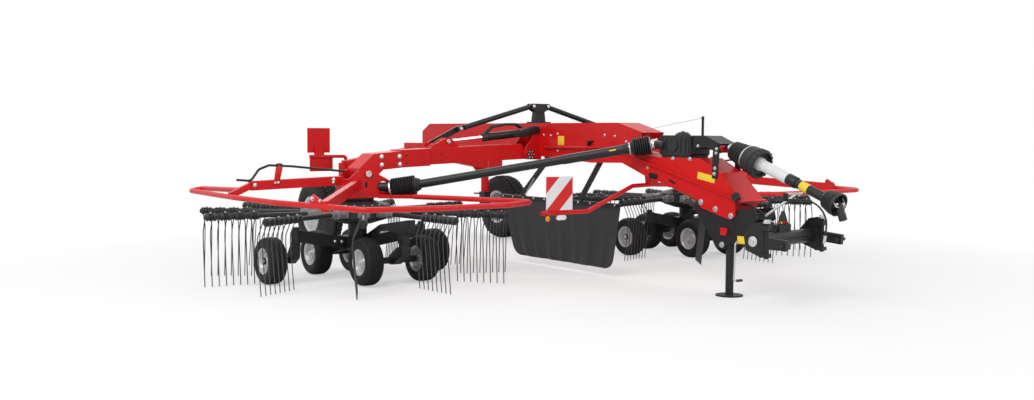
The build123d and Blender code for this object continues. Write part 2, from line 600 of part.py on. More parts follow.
def stay_tube():
    length = hypot(STAY_EYE[0] - STAY_TOP[0], STAY_EYE[1] - STAY_TOP[1])
    body = rod(along(STAY_TOP, STAY_EYE, 40, STAY_X), along(STAY_TOP, STAY_EYE, length - 44, STAY_X), STAY_D)
    eye = tube((STAY_X - 29, -STAY_TOP[0], STAY_TOP[1]), (STAY_X + 29, -STAY_TOP[0], STAY_TOP[1]), 50,
               STAY_PIN_D + 2 * RUN)
    tongue = bar(along(STAY_TOP, STAY_EYE, 22, STAY_X), along(STAY_TOP, STAY_EYE, 44, STAY_X), 40, 36)
    end = bar(along(STAY_TOP, STAY_EYE, length - 60, STAY_X), along(STAY_TOP, STAY_EYE, length, STAY_X), 20, 50)
    boss = rod((STAY_X - STAY_SHIFT + 8 + SIDE, -STAY_EYE[0], STAY_EYE[1]), (STAY_X + 18, -STAY_EYE[0], STAY_EYE[1]), 50)
    return body + eye + tongue + end + boss


def stay_link():
    x = STAY_X - STAY_SHIFT
    flat = bar((x, -STAY_EYE[0], STAY_EYE[1]), (x, -STAY_LUG[0], STAY_LUG[1]), 16, 56)
    ends = rod((x - 8, -STAY_EYE[0], STAY_EYE[1]), (x + 8, -STAY_EYE[0], STAY_EYE[1]), 56)
    ends += rod((x - 8, -STAY_LUG[0], STAY_LUG[1]), (x + 8, -STAY_LUG[0], STAY_LUG[1]), 60)
    hole = rod((x - 9, -STAY_LUG[0], STAY_LUG[1]), (x + 9, -STAY_LUG[0], STAY_LUG[1]), STAY_PIN_D + 2 * RUN)
    return flat + ends - hole


# Drive shafts

def drive_point(distance):
    """A point on the right drive shaft's line, measured from its joint at the gearbox."""
    a = Vector(DRIVE_JOINT[0], -DRIVE_JOINT[1], DRIVE_JOINT[2])
    b = Vector(ROTOR_JOINT[0], -ROTOR_JOINT[1], ROTOR_JOINT[2])
    p = a + (b - a).normalized() * distance
    return (p.X, p.Y, p.Z)


def drive_length():
    a = Vector(DRIVE_JOINT[0], -DRIVE_JOINT[1], DRIVE_JOINT[2])
    b = Vector(ROTOR_JOINT[0], -ROTOR_JOINT[1], ROTOR_JOINT[2])
    return (b - a).length


def drive_outer():
    """The shaft tube from the gearbox, with the bellows over its joint."""
    ball = Pos(*drive_point(0)) * Sphere(DRIVE_BALL_D / 2)
    guard = rod(drive_point(20), drive_point(112), 132) + rod(drive_point(112), drive_point(160), 112)
    body = tube(drive_point(160), drive_point(DRIVE_OUTER_END), DRIVE_D, DRIVE_INNER_D + 2 * RUN)
    return ball + guard + body


def drive_inner():
    """The sliding half that reaches the rotor's head."""
    return rod(drive_point(DRIVE_INNER_START), drive_point(drive_length() - 30), DRIVE_INNER_D)


def rotor_input():
    """The gear head on the bracket's floor, with its shaft and bellows facing the gearbox."""
    case = block((ROTOR_X - 60, ROTOR_X + 130), (-ROTOR_Y - 110, -ROTOR_Y + 150), (HEAD_SEAT, HEAD_SEAT + 122))
    shaft = rod(at_rotor(40, 40, HEAD_SHAFT_Z), drive_point(drive_length() + 30), SHAFT_HOLE - 12)
    bellows = tube(drive_point(drive_length() + 40), drive_point(drive_length() - 60), 146, 134)
    bellows += rod(drive_point(drive_length() + 34), drive_point(drive_length() + 80), 146)
    return case + shaft + bellows


# Power take-off shaft

def pto_point(distance):
    run = hypot(PTO_FRONT[0] - PTO_REAR[0], PTO_FRONT[1] - PTO_REAR[1])
    t = distance / run
    return (PTO_REAR[0] + (PTO_FRONT[0] - PTO_REAR[0]) * t, 0, PTO_REAR[1] + (PTO_FRONT[1] - PTO_REAR[1]) * t)


def pto_guard():
    """Bellows, joint bell and the rear tube of the power take-off shaft."""
    shell = [(-PTO_BACK, 0), (-PTO_BACK, 62), (40, 95), (60, 118), (190, 128), (190, 96), (150, 60), (150, 40), (150, 0)]
    axis = Vector(*pto_point(1)) - Vector(*pto_point(0))
    cup = turned(shell, pto_point(0), (axis.X, axis.Y, axis.Z))
    body = tube(pto_point(140), pto_point(640), PTO_D, PTO_OUTER_D + 2 * RUN)
    return cup + body


def pto_slider():
    """The front half of the shaft with its bell and yoke."""
    run = hypot(PTO_FRONT[0] - PTO_REAR[0], PTO_FRONT[1] - PTO_REAR[1])
    inner = tube(pto_point(180), pto_point(run - 110), PTO_OUTER_D, 52)
    axis = Vector(*pto_point(1)) - Vector(*pto_point(0))
    shell = [(-120, 26), (-120, 44), (-60, 82), (20, 92), (20, 84), (-50, 60), (-50, 26)]
    cup = turned(shell, pto_point(run), (axis.X, axis.Y, axis.Z))
    yoke = rod(pto_point(run - 100), pto_point(run + 20), 50)
    top, mouth = Vector(YOKE_TOP[0], 0, YOKE_TOP[1]), Vector(YOKE_END[0], 0, YOKE_END[1])
    end = rod(top, mouth, YOKE_D)
    bore = rod(mouth + (top - mouth).normalized() * PTO_BORE, mouth, PTO_BORE_D)
    return inner + cup + yoke + end - bore


# Drawbar, jack and headstock

def drawbar():
    points = [(4760, 802), (NOSE_X + 8, 698), (NOSE_X + 30, 722), (5400, 738), (5425, 650), (5380, 620), (5330, 430),
              (5150, 440), (5080, 385), (4990, 390), (4930, 470), (4730, 700)]
    cheeks = side_plate(points, -DRAWBAR_Y - PLATE_T / 2, PLATE_T) + side_plate(points, DRAWBAR_Y + PLATE_T / 2, PLATE_T)
    core = block((4900, 5340), (-DRAWBAR_Y, DRAWBAR_Y), (560, 620))
    nose = tube((YAW_X, 0, 440), (YAW_X, 0, 600), 100, YAW_PIN_D + 2 * RUN)
    web = block((5300, YAW_X - 38), (-45, 45), (450, 590))
    sleeve = tube((JACK_X, JACK_Y, 400), (JACK_X, JACK_Y, JACK_TUBE_TOP), JACK_D + 12, JACK_D + 2 * RUN)
    sleeve += rod((JACK_X, JACK_Y, JACK_TUBE_TOP - 6), (JACK_X, JACK_Y, JACK_TUBE_TOP), JACK_D + 12)
    stem = rod((JACK_X, JACK_Y, 380), (JACK_X, JACK_Y, 660), JACK_D + 6)
    tie = block((5385, 5415), (-DRAWBAR_Y, DRAWBAR_Y), (648, 700))
    rest = rod((5405, 0, 672), (REST[0], 0, REST[1]), 16)
    hook = rod((REST[0], -130, REST[1]), (REST[0], 62, REST[1]), 14)
    clip = block((REST[0] - 14, REST[0] + 14), (HOSE_Y - 14, HOSE_Y + 14), (HOSE_CLIP_Z - 14, REST[1] + 4))
    return cheeks + (core - stem) + web + nose + sleeve + tie + rest + hook + clip + nose_gland()


def jack_leg():
    leg = rod((JACK_X, JACK_Y, FOOT_T), (JACK_X, JACK_Y, JACK_TOP), JACK_D)
    foot = rod((JACK_X, JACK_Y, 0), (JACK_X, JACK_Y, FOOT_T), FOOT_D)
    return leg + foot


def in_headstock(part):
    """Turns what is drawn straight ahead by the headstock's parked angle."""
    return Pos(YAW_X, 0, 0) * Rot(0, 0, HITCH_YAW) * part


def headstock():
    cross = rod((HITCH_AHEAD, -LINK_Y + 10, HITCH_Z), (HITCH_AHEAD, LINK_Y - 10, HITCH_Z), HITCH_TUBE_D)
    pin = rod((0, 0, 420), (0, 0, 625), YAW_PIN_D)
    low = flat_plate([(-60, -60), (150, -90), (150, 90), (-60, 60)], 440 - SIDE, 22, 10)
    high = flat_plate([(-60, -60), (150, -90), (150, 90), (-60, 60)], 600 + SIDE + 18, 18, 10)
    web = block((80, 150), (-80, 80), (430, 615))
    part = cross + pin + low + high + web
    for side in (-1, 1):
        plate = side_plate([(60, 440), (40, 560), (120, 650), (215, 668), (225, 420), (190, 395)], side * LINK_Y, 20, 10)
        lug_low = block((190, LINK_FROM + 27), (side * LINK_Y - 30, side * LINK_Y + 30), (395, 425))
        lug_high = block((190, LINK_FROM + 27), (side * LINK_Y - 30, side * LINK_Y + 30), (600, 640))
        post = rod((LINK_FROM, side * LINK_Y, 385), (LINK_FROM, side * LINK_Y, 655), 34)
        tongue = bar((LINK_FROM, side * LINK_Y, LINK_Z + 16), (LINK_FROM + LINK_REACH, side * LINK_Y, LINK_Z), 40, 80,
                     (0, 1, 0))
        end = LINK_FROM + LINK_REACH - 24
        link = rod((end, side * LINK_Y - 70, LINK_Z), (end, side * LINK_Y + 70, LINK_Z), LINK_PIN_D)
        part += plate + lug_low + lug_high + post + tongue + link
    rack = cross_plate([(-110, 560), (-20, 725), (20, 725), (110, 560)], HITCH_AHEAD, 6)
    return in_headstock(part + rack)


# Hoses at the hitch

def cord_path(points):
    """Straight runs joined by arcs, each as large as its two runs allow, and the list of radii."""
    corners = [Vector(*p) for p in points]
    radii = []
    for a, b, c in zip(corners, corners[1:], corners[2:]):
        turn = radians((b - a).get_angle(c - b))
        radii.append(0.45 * min((b - a).length, (c - b).length) / tan(turn / 2))
    return FilletPolyline(*corners, radius=radii), radii


def cord_tube(name, points, diameter):
    path, radii = cord_path(points)
    solid = sweep(Plane(origin=path @ 0, z_dir=path % 0) * Circle(diameter / 2), path)
    print(name, "radii", [round(r) for r in radii], "volume ratio",
          round(solid.volume / (pi * diameter ** 2 / 4 * path.length), 4))
    return solid


def gland(points, diameter, length):
    """A short ferrule behind a cord's first point, in line with its first run."""
    start = Vector(*points[0])
    back = (start - Vector(*points[1])).normalized()
    end = start + back * length
    return rod(start, end, diameter)


def hose_front_points():
    x = REST[0] + 14
    z = HOSE_CLIP_Z
    shape = [(0, 0), (76, 0), (166, 7), (252, -8), (322, -50), (366, -114), (376, -184), (364, -250)]
    return [(x + dx, HOSE_Y, z + dz) for dx, dz in shape]


def hose_nose_points():
    shape = [(0, 757), (50, 757), (102, 750), (150, 733), (190, 714)]
    return [(NOSE_X + dx, -50, z) for dx, z in shape]


def hose_coupler():
    """The plug on the free end of the long hose."""
    points = hose_front_points()[::-1]
    start = Vector(*points[0])
    along_hose = (start - Vector(*points[1])).normalized()
    return rod(start, start + along_hose * 58, 24)


def nose_gland():
    points = hose_nose_points()[::-1]
    return gland(points, 20, 30)


# Boards, lamps and curtain

def boards():
    half = BOARD / 2
    front = block((BOARD_X, BOARD_X + BOARD_T), (-BOARD_Y - half, -BOARD_Y + half), (BOARD_Z - half, BOARD_Z + half))
    x, y, z = REAR_BOARD
    rear = block((x - BOARD_T, x), (-y - half, -y + half), (z - half, z + half))
    return front + rear + mirror(front, Plane.XZ) + mirror(rear, Plane.XZ)


def board_arms():
    back = BOARD_X - TUBE_D / 2 - 4
    low = BOARD_Z - BOARD / 2 - 22
    front = bent_tube([(back, 0, 872), (back, -230, 864), (back, -745, low), (back, -1235, low)], TUBE_D, 60)
    hanger = side_plate([(back - 34, 872), (back + 34, 872), (back + 60, 1000), (back - 60, 1040)], 0, 90)
    clamp = block((back, BOARD_X), (-BOARD_Y - 80, -BOARD_Y + 80), (low - 6, low + 60))
    x, y, z = REAR_BOARD
    back = x + TUBE_D / 2 + 2
    rear = bent_tube([(back, -1338, 1042), (back, -900, 1042), (back, -850, 950), (-PORTAL_SIZE / 2, -850, 950)],
                     TUBE_D, 24)
    holder = block((x, back), (-y - 60, -y + 60), (1030, z - 80))
    lower = block((back - 4, back), (-1338, -1051), (873, 1030))
    side = front + clamp + rear + holder + lower
    return side + mirror(side, Plane.XZ) + (hanger - main_beam())


def lamps():
    low = BOARD_Z - BOARD / 2 - 22 - TUBE_D / 2 - SEAT
    x = BOARD_X - TUBE_D / 2 - 4
    amber = rod((x - 12, -1182, low - 28), (x + 12, -1182, low - 28), 56)
    white = block((x - 20, x + 20), (-1090, -985), (low - 48, low))
    side = amber + white
    return side + mirror(side, Plane.XZ)


def curtain():
    x0, x1 = CURTAIN_X
    z0, z1 = CURTAIN_Z
    face = outline([(x0, z1 - 30), (x0 + CURTAIN_REAR_CUT, z0), (x1 - CURTAIN_FRONT_CUT, z0), (x1, z1 - 30)])
    face = fillet(face.vertices().sort_by(Axis.Y)[:2], CURTAIN_CORNER)
    plane = Plane(origin=(0, CURTAIN_Y, 0), x_dir=(1, 0, 0), z_dir=(0, -1, 0))
    return extrude(plane * face, CURTAIN_T / 2, both=True)


def curtain_struts():
    x0, x1 = CURTAIN_X
    z1 = CURTAIN_Z[1]
    y = CURTAIN_Y
    rail = block((x0, x1), (y - 20, y + 20), (z1 - 30 + SEAT, z1))
    front = bar((3500, y, BEAM_LOW - 10), (3190, y, z1 + 6), 12, 60, (0, 1, 0))
    rear = bar((2740, y, BEAM_LOW + 26), (2245, y, z1 + 6), 12, 60, (0, 1, 0))
    return rail + (front + rear - main_beam())


def export(name, solid):
    part = Pos(-ORIGIN_X, 0, 0) * solid
    part.label = name
    export_step(part, f"parts/{name}.step")


def export_pair(name, right, left=None):
    """Writes a right piece and its left counterpart, the mirror image unless one is given."""
    export(f"{name}_right", right)
    export(f"{name}_left", mirror(right, Plane.XZ) if left is None else left)


def main():
    os.makedirs("parts", exist_ok=True)
    export("main_beam", main_beam())
    export("tripod", tripod())
    export("gearbox", gearbox())
    export("gearbox_cover", gearbox_cover())
    export("rear_axle", rear_axle())
    export("drawbar", drawbar())
    export("hose_coupler", hose_coupler())
    export("pto_guard", pto_guard())
    export("pto_slider", pto_slider())
    export("jack_leg", jack_leg())
    export("headstock", headstock())
    export("boards", boards())
    export("board_arms", board_arms())
    export("lamps", lamps())
    export("hose_front", cord_tube("hose_front", hose_front_points(), HOSE_D))
    export("hose_nose", cord_tube("hose_nose", hose_nose_points(), HOSE_D))
    export("curtain", curtain())
    export("curtain_struts", curtain_struts())
    export_pair("knuckle", knuckle())
    export_pair("transport_wheel", transport_wheel())
    export_pair("arm", arm())
    export_pair("bracket", bracket())
    export_pair("hoop", hoop())
    export_pair("carriage", carriage() + rotor_input())
    export_pair("rotor_hub", rotor_hub())
    export_pair("tine_arms", tine_arms(ARM_START["right"]), mirror(tine_arms(-ARM_START["left"]), Plane.XZ))
    export_pair("leg_outer", side_leg(-1))
    export_pair("leg_inner", side_leg(1))
    export_pair("caster_front", front_caster())
    wheel_x = SIDE_POST[0] - SIDE_TRAIL
    export_pair("wheel_outer", rotor_wheel(wheel_x, -SIDE_WHEEL_Y))
    export_pair("wheel_inner", rotor_wheel(wheel_x, SIDE_WHEEL_Y))
    export_pair("wheels_front", front_wheels())
    export_pair("wheels_rear", rear_wheels())
    export_pair("cylinder_barrel", cylinder_barrel())
    export_pair("cylinder_rod", cylinder_rod())
    export_pair("stay_tube", stay_tube())
    export_pair("stay_link", stay_link())
    export_pair("drive_outer", drive_outer())
    export_pair("drive_inner", drive_inner())


if __name__ == "__main__":
    main()
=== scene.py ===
# %% [markdown]
# Rotary hay rake, parked on its jack with both rotors lowered. The solids come from the packed
# model, which is the fixed frame. This file dresses them: finishes first, then each piece whose
# shape needs more than its plain solid. Everything is in metres. Stations along X are measured
# from the transport axle, as on a maker's drawing, and at() moves them into the model's frame.

# %% Load the frame
import json
from math import cos, pi, radians, sin, sqrt, tan

import bmesh
import bpy
from mathutils import Matrix, Vector


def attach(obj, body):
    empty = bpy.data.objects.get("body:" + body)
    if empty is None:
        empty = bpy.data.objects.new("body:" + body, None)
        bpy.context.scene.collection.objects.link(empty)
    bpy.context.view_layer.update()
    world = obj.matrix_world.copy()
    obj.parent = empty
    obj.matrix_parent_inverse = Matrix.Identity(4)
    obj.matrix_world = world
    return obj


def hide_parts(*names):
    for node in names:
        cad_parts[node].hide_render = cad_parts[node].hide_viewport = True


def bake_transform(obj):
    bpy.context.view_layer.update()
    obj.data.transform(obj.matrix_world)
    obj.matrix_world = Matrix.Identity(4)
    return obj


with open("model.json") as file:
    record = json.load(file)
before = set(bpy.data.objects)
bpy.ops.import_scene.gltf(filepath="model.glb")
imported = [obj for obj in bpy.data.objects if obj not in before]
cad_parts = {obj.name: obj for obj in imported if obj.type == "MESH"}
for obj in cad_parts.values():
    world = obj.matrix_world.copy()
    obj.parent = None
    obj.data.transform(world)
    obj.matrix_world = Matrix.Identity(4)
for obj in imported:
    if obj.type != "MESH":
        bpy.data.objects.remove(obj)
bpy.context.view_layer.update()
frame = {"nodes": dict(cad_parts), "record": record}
nodes = frame["nodes"]
scene = bpy.context.scene
AXLE = -2.898
SIDES = (("right", -1), ("left", 1))
print("frame", len(nodes), "nodes")


def at(x, y, z):
    """A point whose x is its station from the transport axle."""
    return Vector((x + AXLE, y, z))


ROTOR_X = 2.444
ROTOR_Y = 2.083


def at_rotor(x, y, z):
    """A point from the right rotor's centre, y toward the middle of the machine."""
    return at(ROTOR_X + x, -ROTOR_Y + y, z)


# %% [markdown]
# The camera stands where the photographer stood: its place, tilt and lens were solved from the
# photograph, with its focal length in the photograph's own pixels. A camera looks along its own
# -Z, so its matrix is built from right, up and back.

# %% Camera
AZIMUTH = radians(53.941)
PITCH = radians(3.531)
ROLL = radians(-0.369)
EYE = (8.357, -6.71, 1.326)
FOCAL_PIXELS = 1089.356
PHOTO_PIXELS = 1034
SENSOR_WIDTH = 36
flat_right = Vector((cos(AZIMUTH), sin(AZIMUTH), 0))
back = Vector((sin(AZIMUTH) * cos(PITCH), -cos(AZIMUTH) * cos(PITCH), sin(PITCH)))
flat_up = back.cross(flat_right)
right = flat_right * cos(ROLL) - flat_up * sin(ROLL)
up = flat_right * sin(ROLL) + flat_up * cos(ROLL)
camera = bpy.data.objects.new("camera", bpy.data.cameras.new("camera"))
scene.collection.objects.link(camera)
camera.data.sensor_width = SENSOR_WIDTH
camera.data.lens = SENSOR_WIDTH * FOCAL_PIXELS / PHOTO_PIXELS
camera.data.clip_end = 200
camera.matrix_world = Matrix(((right.x, up.x, back.x, EYE[0]), (right.y, up.y, back.y, EYE[1]),
                              (right.z, up.z, back.z, EYE[2]), (0, 0, 0, 1)))
scene.camera = camera
print("lens", round(camera.data.lens, 2), "mm")

# %% [markdown]
# A finish is a node tree. Writing its sums as Python keeps them readable, so one small class
# stands for a socket and knows the operators. The Finish class makes the material around it.

# %% Shader sums


class Term:
    """One socket of a node tree, whose sums are written as Python operators."""

    def __init__(self, tree, socket):
        self.tree = tree
        self.socket = socket

    def math(self, operation, *others, clamp=False):
        node = self.tree.nodes.new("ShaderNodeMath")
        node.operation = operation
        node.use_clamp = clamp
        for slot, value in zip(node.inputs, (self,) + others):
            if isinstance(value, Term):
                self.tree.links.new(value.socket, slot)
            else:
                slot.default_value = value
        return Term(self.tree, node.outputs[0])

    def __add__(self, other):
        return self.math("ADD", other)

    def __sub__(self, other):
        return self.math("SUBTRACT", other)

    def __rsub__(self, other):
        node = self.tree.nodes.new("ShaderNodeMath")
        node.operation = "SUBTRACT"
        node.inputs[0].default_value = other
        self.tree.links.new(self.socket, node.inputs[1])
        return Term(self.tree, node.outputs[0])

    def __mul__(self, other):
        return self.math("MULTIPLY", other)

    def below(self, edge):
        return self.math("LESS_THAN", edge)

    def limited(self):
        return self.math("ADD", 0.0, clamp=True)


class Finish:
    """A material under construction: its tree, its shader and the pattern coordinates."""

    def __init__(self, name, **constants):
        self.material = bpy.data.materials.new(name)
        self.material.use_nodes = True
        self.tree = self.material.node_tree
        self.shader = self.tree.nodes["Principled BSDF"]
        self.coordinates = self.node("TexCoord", out="Object")
        for socket, value in constants.items():
            self.set(socket.replace("_", " "), value)

    def set(self, socket, value):
        slot = self.shader.inputs[socket]
        if isinstance(value, Term):
            self.tree.links.new(value.socket, slot)
        else:
            slot.default_value = value

    def node(self, kind, settings=None, out=0, **inputs):
        node = self.tree.nodes.new("ShaderNode" + kind)
        for name, value in (settings or {}).items():
            setattr(node, name, value)
        for name, value in inputs.items():
            slot = node.inputs[name.replace("_", " ")]
            if isinstance(value, Term):
                self.tree.links.new(value.socket, slot)
            else:
                slot.default_value = value
        return Term(self.tree, node.outputs[out])

    def noise(self, scale, detail=3.0, roughness=0.55):
        return self.node("TexNoise", Vector=self.coordinates, Scale=scale, Detail=detail,
                         Roughness=roughness)

    def axis(self, letter, where=None):
        node = self.tree.nodes.new("ShaderNodeSeparateXYZ")
        self.tree.links.new((where or self.coordinates).socket, node.inputs[0])
        return Term(self.tree, node.outputs["XYZ".index(letter)])

    def mix(self, factor, a, b):
        """A blend of two colours."""
        node = self.tree.nodes.new("ShaderNodeMix")
        node.data_type = "RGBA"
        self.tree.links.new(factor.socket, node.inputs[0])
        node.inputs[6].default_value = (*a, 1)
        node.inputs[7].default_value = (*b, 1)
        return Term(self.tree, node.outputs[2])

    def relief(self, height, distance, strength, normal=None):
        inputs = {"Height": height, "Distance": distance, "Strength": strength}
        if normal is not None:
            inputs["Normal"] = normal
        self.set("Normal", self.node("Bump", **inputs))

    def rounded(self, radius):
        """Softened edges, as every cast, folded or painted edge has."""
        return self.node("Bevel", {"samples": 4}, Radius=radius)


print("shader sums ready")

# %% [markdown]
# The red is a baked powder coat over steel: one strong colour, a little orange peel, a trace of
# haze, and softened edges that catch the light. The charcoal coat on arms, forks and drawbar is
# the same process with less gloss. Noise in roughness keeps large flat faces from looking flat.

# %% Painted steel
PEEL = 0.00025
HAZE = 0.12


def powder_coat(name, colour, roughness, coat):
    finish = Finish(name, Metallic=0.0, Coat_Roughness=0.12, Specular_IOR_Level=0.26)
    cloud = finish.noise(2.3, 4)
    grain = finish.noise(60, 2)
    dark = tuple(c * (1 - HAZE) for c in colour)
    light = tuple(min(1, c * (1 + HAZE) + 0.004) for c in colour)
    finish.set("Base Color", finish.mix(cloud, dark, light))
    finish.set("Roughness", (cloud * 0.10 + grain * 0.08 + (roughness - 0.09)).limited())
    finish.set("Coat Weight", coat)
    finish.relief(finish.noise(210, 2), PEEL, 0.35, finish.rounded(0.004))
    return finish.material


red_paint = powder_coat("red_powder_coat", (0.60, 0.0035, 0.0045), 0.40, 0.12)
charcoal_paint = powder_coat("charcoal_powder_coat", (0.013, 0.0132, 0.014), 0.44, 0.08)
grey_paint = powder_coat("dark_grey_tube_coat", (0.016, 0.0163, 0.017), 0.42, 0.08)


def cast_housing():
    finish = Finish("cast_housing", Metallic=0.0, Specular_IOR_Level=0.35)
    grain = finish.noise(95, 5, 0.7)
    cloud = finish.noise(6, 3)
    finish.set("Base Color", finish.mix(cloud, (0.014, 0.0145, 0.016), (0.034, 0.035, 0.038)))
    finish.set("Roughness", (grain * 0.2 + 0.42).limited())
    finish.relief(grain, 0.0012, 0.5, finish.rounded(0.003))
    return finish.material


cast_iron = cast_housing()


def zinc_plating():
    finish = Finish("zinc_plating", Metallic=1.0)
    cloud = finish.noise(90, 4)
    finish.set("Base Color", finish.mix(cloud, (0.50, 0.50, 0.50), (0.74, 0.74, 0.76)))
    finish.set("Roughness", (cloud * 0.2 + 0.22).limited())
    return finish.material


zinc = zinc_plating()


def spring_steel():
    """Hardened wire, painted dark and rubbed by the crop."""
    finish = Finish("spring_steel", Metallic=0.6)
    wear = finish.noise(26, 3)
    low = (0.45 - finish.axis("Z")).limited() * 0.5
    finish.set("Base Color", finish.mix((wear * low * 2.0).limited(), (0.055, 0.056, 0.06),
                                        (0.22, 0.215, 0.21)))
    finish.set("Roughness", (wear * 0.25 + 0.3).limited())
    return finish.material


tine_steel = spring_steel()
CLOUD_SCALE = 14.0
GRAIN_SCALE = 308.0


def plain(name, colour, roughness, metallic=0.0, variation=0.1, bump=0.0):
    """A moulded or glazed surface: its colour, a little cloudiness and a fine grain."""
    finish = Finish(name, Metallic=metallic, Specular_IOR_Level=0.38)
    cloud = finish.noise(CLOUD_SCALE, 3)
    finish.set("Base Color", finish.mix(cloud, tuple(c * (1 - variation) for c in colour),
                                        tuple(min(1, c * (1 + variation)) for c in colour)))
    finish.set("Roughness", (cloud * 0.12 + (roughness - 0.06)).limited())
    if bump:
        finish.relief(finish.noise(GRAIN_SCALE, 2), bump, 0.4)
    return finish.material


guard_plastic = plain("guard_plastic", (0.016, 0.0165, 0.018), 0.46, bump=0.0004)
bellows_rubber = plain("bellows_rubber", (0.010, 0.010, 0.011), 0.52, bump=0.0003)
hose_rubber = plain("hose_rubber", (0.012, 0.012, 0.013), 0.5, bump=0.0002)
wheel_silver = plain("wheel_silver", (0.56, 0.57, 0.58), 0.34, 0.35)
clear_lens = plain("clear_lens", (0.80, 0.82, 0.84), 0.14)
amber_lens = plain("amber_lens", (0.85, 0.30, 0.015), 0.16)
red_lens = plain("red_lens", (0.62, 0.01, 0.01), 0.16)
yellow_band = plain("yellow_band", (0.86, 0.62, 0.045), 0.5)
white_plastic = plain("white_plastic", (0.72, 0.73, 0.74), 0.4)
cast_grey = plain("cast_grey", (0.20, 0.205, 0.21), 0.5, 0.3, bump=0.0005)
# painted shade: a near-black that stands in for the shade inside holes and slots
hole_black = plain("hole_black", (0.004, 0.004, 0.004), 0.8)
rod_chrome = plain("rod_chrome", (0.80, 0.80, 0.82), 0.12, 1.0, 0.03)
warning_red = plain("warning_red", (0.62, 0.012, 0.010), 0.35)
print("paints, metals and plastics", len(bpy.data.materials))

# %% [markdown]
# Tyres are carbon black with a soft sheen. Their grooves are real geometry, and only the fine mould
# texture is in the finish. The curtain is coated fabric, so its weave is drawn on the sheet's own
# flat coordinates and follows it as it hangs.

# %% Rubber and cloth


def tyre_rubber():
    finish = Finish("tyre_rubber", Metallic=0.0, Specular_IOR_Level=0.25)
    cloud = finish.noise(9, 4)
    fine = finish.noise(160, 3)
    finish.set("Base Color", finish.mix(cloud, (0.007, 0.007, 0.0075), (0.017, 0.017, 0.0175)))
    finish.set("Roughness", (fine * 0.14 + 0.56).limited())
    finish.relief(fine, 0.0008, 0.35)
    return finish.material


tyre_black = tyre_rubber()
WEAVE = 2600.0


def swath_cloth():
    """Coated fabric: a fine weave under a dull black skin."""
    finish = Finish("coated_fabric", Metallic=0.0, Sheen_Weight=0.10, Specular_IOR_Level=0.35)
    uv = finish.node("UVMap", {"uv_map": "cloth"})
    warp = (finish.axis("X", uv) * WEAVE).math("SINE")
    weft = (finish.axis("Y", uv) * WEAVE).math("SINE")
    cloud = finish.noise(3.0, 5)
    finish.set("Base Color", finish.mix(cloud, (0.017, 0.0172, 0.018), (0.034, 0.0345, 0.035)))
    finish.set("Roughness", (cloud * 0.2 + 0.52).limited())
    finish.relief(warp * weft, 0.0006, 0.3)
    return finish.material


fabric = swath_cloth()
print("rubber and cloth", tyre_black.name, fabric.name)

# %% [markdown]
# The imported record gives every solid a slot, such as red paint or tyre. A table turns the slots into
# finishes, so that like pieces look alike. The drive shafts' tubes are painted rather than moulded,
# so they leave the table and take the grey of tubes.

# %% Finishes of the solids
FINISHES = {"red_paint": red_paint, "dark_paint": charcoal_paint, "dark_steel": tine_steel,
            "dark_casting": cast_iron, "chrome_rod": rod_chrome, "zinc": zinc,
            "guard_plastic": guard_plastic, "hose_rubber": hose_rubber, "tyre": tyre_black,
            "board_sheet": warning_red, "lamp_glass": amber_lens, "curtain_cloth": fabric}
slots = {row["node"]: row["material_slot"] for row in frame["record"]["subparts"]}
for name, node in nodes.items():
    node.data.materials.clear()
    node.data.materials.append(FINISHES[slots[name]])
for name, _ in SIDES:
    for shaft in ("drive_outer_", "drive_inner_"):
        nodes[shaft + name].data.materials[0] = grey_paint
print("finishes", len(bpy.data.materials))

# %% [markdown]
# Nearly every new piece starts as one of a few things that a shop makes: a turned part, a bent
# tube, a plate or a bolt. Each helper adds a primitive, shapes it in edit mode and puts its place
# into its mesh, so the object itself stays at the origin.

# %% Shop helpers
ORIGIN = (0, 0, 0)
AHEAD = (1, 0, 0)
RIGHT_WAY = (0, -1, 0)
UP = (0, 0, 1)


def nothing_selected():
    for thing in bpy.context.selected_objects:
        thing.select_set(False)
    bpy.context.view_layer.objects.active = None


def only(thing):
    """Selects one thing alone and makes it the active one."""
    nothing_selected()
    thing.select_set(True)
    bpy.context.view_layer.objects.active = thing
    return thing


def placed(thing, name, finish, matrix=None, smooth=40):
    """Names a new piece, puts its place in its mesh and gives it a finish."""
    only(thing)
    if matrix is not None:
        thing.matrix_world = matrix @ thing.matrix_world
    bpy.ops.object.transform_apply(location=True, rotation=True, scale=True)
    thing.name = name
    thing.data.materials.clear()
    thing.data.materials.append(finish)
    if smooth:
        bpy.ops.object.shade_smooth_by_angle(angle=radians(smooth))
    return thing


def facing(origin, direction, roll=Vector(UP)):
    """The matrix that stands local Z along a direction, with local X as near roll as it can be."""
    z = Vector(direction).normalized()
    if abs(z.dot(roll)) > 0.98:
        roll = Vector(AHEAD)
    x = (roll - z * roll.dot(z)).normalized()
    y = z.cross(x)
    return Matrix(((x.x, y.x, z.x, origin[0]), (x.y, y.y, z.y, origin[1]), (x.z, y.z, z.z, origin[2]),
                   (0, 0, 0, 1)))


def facing_ahead(x, y, z):
    """The place of a plate that looks forward, its outline drawn across and up."""
    return facing(at(x, y, z), AHEAD, Vector((0, 1, 0)))


def facing_right(x, y, z):
    """The place of a plate that looks to the right, its outline drawn along and up."""
    return facing(at(x, y, z), RIGHT_WAY, Vector(AHEAD))


